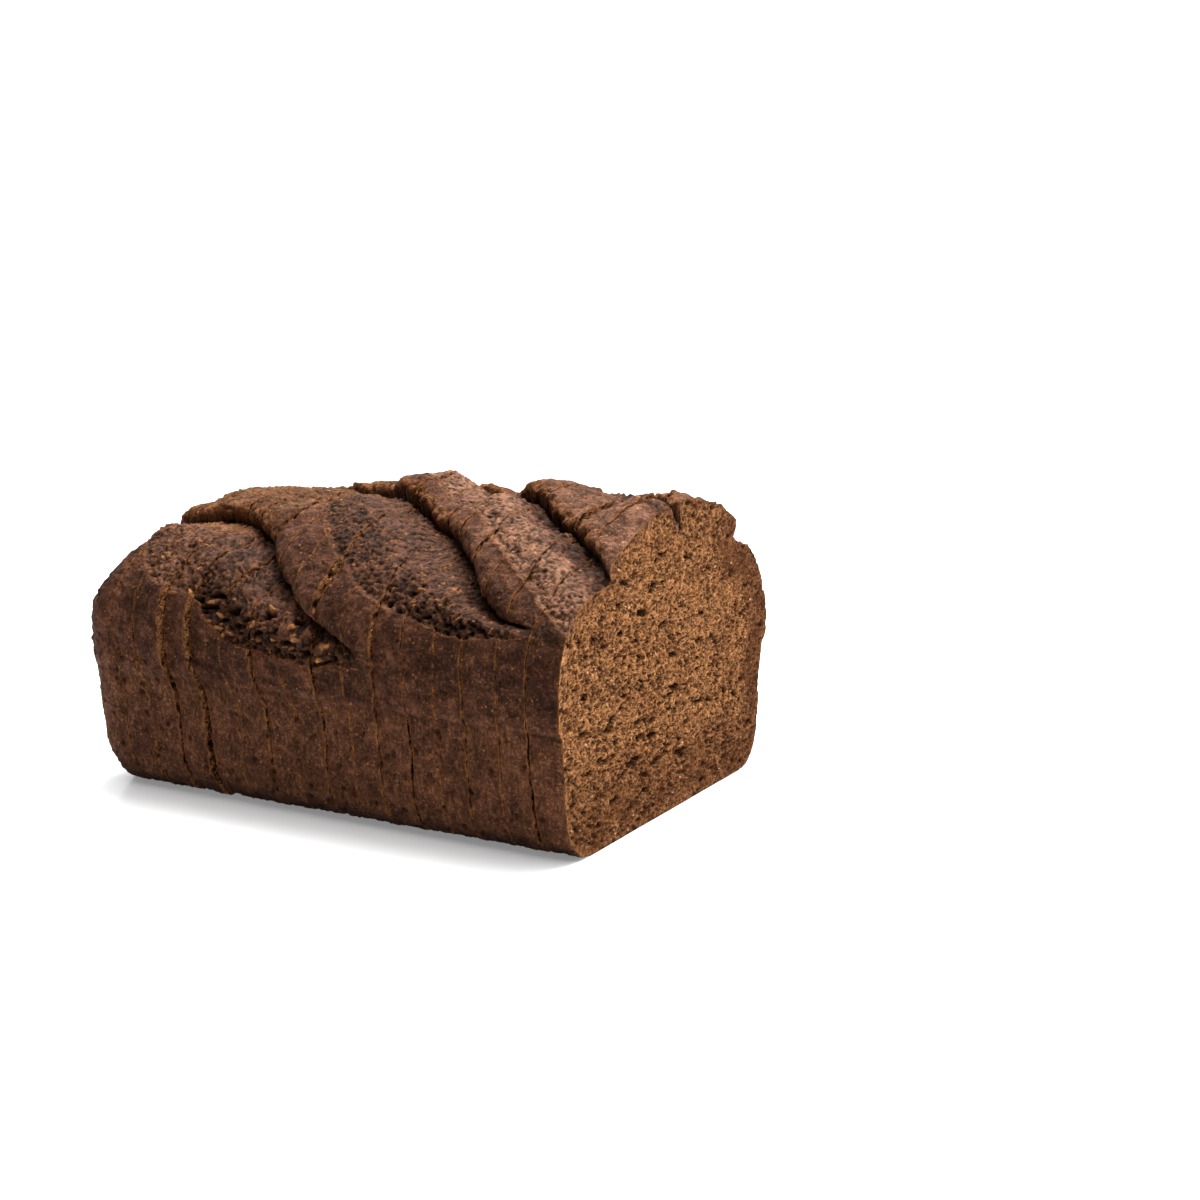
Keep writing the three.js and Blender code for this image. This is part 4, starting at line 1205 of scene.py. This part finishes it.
    # pores, darkened with painted shade
    p1 = N.voronoi(warp.outputs[0], 1 / 1.05)
    pm = N.ramp(p1, 0.40, 0.16)
    pmask = N.noise(cm, 1 / 1.7, 2, 0.5)
    pm = N.math("MULTIPLY", pm, N.ramp(pmask, 0.36, 0.52))
    cr = N.mix(N.math("MULTIPLY", pm, 0.85), cr, lin(38, 18, 8))
    # painted shade inside the small open cells, and paler thin walls between them
    ce = N.voronoi(warp.outputs[0], 1 / 1.5, "DISTANCE_TO_EDGE")
    cc = N.new("ShaderNodeSeparateColor")
    N.link(N.voronoi(warp.outputs[0], 1 / 1.5, "F1", "Color"), cc.inputs[0])
    cell = N.math("MULTIPLY", N.ramp(ce, 0.07, 0.26), N.ramp(cc.outputs[0], 0.40, 0.75))
    cr = N.mix(N.math("MULTIPLY", cell, 0.72), cr, lin(62, 32, 14))
    cr = N.mix(N.ramp(ce, 0.09, 0.02, 0.0, 0.50), cr, lin(206, 150, 100))
    cr = N.mix(N.math("MULTIPLY", N.attr("rim"), N.ramp(cf, 0.30, 0.60, 0.45, 0.95)), cr, lin(196, 136, 82))
    # painted shade in the pores of the crumb
    cr = N.mix(N.math("MULTIPLY", cav, 0.95), cr, lin(28, 13, 6))
    # darker towards the crust
    dn = N.math("MULTIPLY", depth, N.ramp(N.noise(cm, 1 / 4.0, 3, 0.6), 0.25, 0.70, 1.25, 0.75))
    cr = N.mix(N.math("MULTIPLY", dn, 0.80), cr, lin(70, 37, 21))
    # light flecks of bran and flour
    fk1 = N.voronoi(mm, 1 / 3.1)
    fkn = N.noise(mm, 1 / 4.4, 1, 0.5)
    fm = N.math("MULTIPLY", N.ramp(fk1, 0.16, 0.09), N.ramp(fkn, 0.52, 0.57))
    cr = N.mix(N.math("MULTIPLY", fm, 0.80), cr, lin(226, 176, 132))
    colour = N.mix(crumb, crust, cr)

    # ---- roughness
    ro_up = N.ramp(fine, 0.3, 0.7, 0.60, 0.80)
    ro_side = N.ramp(fine, 0.3, 0.7, 0.68, 0.86)
    ro_torn = N.ramp(tn, 0.3, 0.7, 0.22, 0.46)
    ro = N.mixf(pan, ro_up, ro_side)
    ro = N.mixf(torn, ro, ro_torn)
    ro = N.mixf(N.math("MAXIMUM", edge, fleck), ro, 0.80)
    ro = N.mixf(cav, ro, 0.9)
    ro = N.mixf(crumb, ro, N.ramp(cf, 0.3, 0.7, 0.74, 0.92))

    # ---- relief finer than the mesh
    h_up = N.math("ADD", N.math("ADD", N.math("MULTIPLY", N.noise(mm, 1 / 1.1, 4, 0.66), 0.70), N.math("MULTIPLY", N.noise(mm, 1 / 3.2, 2, 0.6), 1.30)), N.math("MULTIPLY", grain, 0.18))
    h_side = N.math("ADD", N.math("MULTIPLY", streak, 0.42), N.math("MULTIPLY", N.noise(mm, 1 / 0.7, 4, 0.68), 0.42))
    h_torn = N.math("ADD", N.math("MULTIPLY", N.mixf(strand, tn, fibre), 0.85), N.math("MULTIPLY", N.noise(mm, 1 / 0.6, 3, 0.62), 0.30))
    h_cr = N.math("SUBTRACT", N.math("ADD", N.math("MULTIPLY", cw, 0.50), N.math("MULTIPLY", cf, 0.62)), N.math("ADD", N.math("MULTIPLY", pm, 0.70), N.math("MULTIPLY", cell, 0.75)))
    h = N.mixf(pan, h_up, h_side)
    h = N.mixf(torn, h, h_torn)
    h = N.mixf(crumb, h, h_cr)
    bump = N.new("ShaderNodeBump")
    bump.inputs["Strength"].default_value = 0.9
    bump.inputs["Distance"].default_value = 0.001
    N.link(h, bump.inputs["Height"])

    sh = N.new("ShaderNodeBsdfPrincipled")
    N.link(colour, sh.inputs["Base Color"])
    N.link(ro, sh.inputs["Roughness"])
    N.link(bump.outputs["Normal"], sh.inputs["Normal"])
    sh.inputs["Specular IOR Level"].default_value = 0.06
    sh.inputs["Specular Tint"].default_value = (1.0, 0.82, 0.68, 1)
    out = N.new("ShaderNodeOutputMaterial")
    N.link(sh.outputs["BSDF"], out.inputs["Surface"])
    return mat


# --------------------------------------------------------------------------
# the loaf
# --------------------------------------------------------------------------
mat_slice = bread_material("rye_slice")
mat_heel = bread_material("rye_heel")
for j in range(1, SLICES + 2):
    node = "heel" if j == SLICES + 1 else "slice_%02d" % (SLICES + 1 - j)
    g = make_piece(j)
    ob = to_object("loaf_" + node, g)
    ob.data.materials.append(mat_heel if node == "heel" else mat_slice)
    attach(ob, "root")
    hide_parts(node)

# --------------------------------------------------------------------------
# floor, light and camera
# --------------------------------------------------------------------------
floor_mesh = bpy.data.meshes.new("floor")
R = 2.6
floor_mesh.from_pydata([(-R, -R, 0), (R, -R, 0), (R, R, 0), (-R, R, 0)], [], [(0, 1, 2, 3)])
floor = bpy.data.objects.new("floor", floor_mesh)
bpy.context.scene.collection.objects.link(floor)
fm = bpy.data.materials.new("floor_white")
FN = Nodes(fm)
fs = FN.new("ShaderNodeBsdfPrincipled")
fn = FN.noise(FN.new("ShaderNodeTexCoord").outputs["Object"], 6.0, 2, 0.5)
FN.link(FN.mix(fn, (0.88, 0.88, 0.88, 1), (0.90, 0.90, 0.90, 1)), fs.inputs["Base Color"])
fs.inputs["Roughness"].default_value = 0.22
fs.inputs["Emission Color"].default_value = (1, 1, 1, 1)
fs.inputs["Emission Strength"].default_value = 0.22
fs.inputs["Specular IOR Level"].default_value = 0.35
fo = FN.new("ShaderNodeOutputMaterial")
FN.link(fs.outputs["BSDF"], fo.inputs["Surface"])
floor_mesh.materials.append(fm)

scene = bpy.context.scene
world = bpy.data.worlds.new("studio")
scene.world = world
world.use_nodes = True
bg = world.node_tree.nodes["Background"]
wt = world.node_tree
wc = wt.nodes.new("ShaderNodeTexCoord")
wx = wt.nodes.new("ShaderNodeSeparateXYZ")
wr = wt.nodes.new("ShaderNodeMapRange")
wt.links.new(wc.outputs["Generated"], wx.inputs[0])
wt.links.new(wx.outputs[1], wr.inputs["Value"])
wr.inputs["From Min"].default_value = -0.35
wr.inputs["From Max"].default_value = 0.45
wr.inputs["To Min"].default_value = 0.16
wr.inputs["To Max"].default_value = 1.10
wt.links.new(wr.outputs["Result"], bg.inputs["Strength"])
bg.inputs["Color"].default_value = (1.0, 1.0, 1.0, 1)


def area(name, loc, target, size, power, colour=(1, 1, 1)):
    ld = bpy.data.lights.new(name, "AREA")
    ld.shape = "RECTANGLE"
    ld.size, ld.size_y = size
    ld.energy = power
    ld.color = colour
    lo = bpy.data.objects.new(name, ld)
    bpy.context.scene.collection.objects.link(lo)
    d = Vector(target) - Vector(loc)
    lo.matrix_world = Matrix.Translation(loc) @ d.to_track_quat("-Z", "Y").to_matrix().to_4x4()
    return lo


area("softbox_top", (0.12, 0.30, 1.10), (0.0, 0.0, 0.04), (0.9, 0.7), 27.0)
area("softbox_right", (1.0, 0.10, 0.55), (0.05, 0.0, 0.05), (0.6, 0.6), 3.2)
area("ceiling", (0.0, 0.1, 2.4), (0.0, 0.1, 0.0), (3.2, 3.6), 62.0)

cam_data = bpy.data.cameras.new("camera")
cam_data.sensor_width = 36.0
cam_data.lens = 2300.0 / 1200.0 * 36.0
cam_data.clip_start = 0.02
cam_data.clip_end = 50
cam = bpy.data.objects.new("camera", cam_data)
scene.collection.objects.link(cam)
yaw, pitch = 0.508692, 0.219521
fwd = Vector((-math.sin(yaw) * math.cos(pitch), math.cos(yaw) * math.cos(pitch), -math.sin(pitch)))
rightv = Vector((math.cos(yaw), math.sin(yaw), 0))
upv = rightv.cross(fwd)
rot = Matrix((rightv, upv, -fwd)).transposed()
cam.matrix_world = Matrix.Translation(((321.264 + CUT_X) * MM, (-620.867 - MID_Y) * MM, 224.468 * MM)) @ rot.to_4x4()
scene.camera = cam
scene.view_settings.view_transform = "Standard"
scene.view_settings.look = "None"
scene.view_settings.exposure = 0.0
scene.view_settings.gamma = 1.0
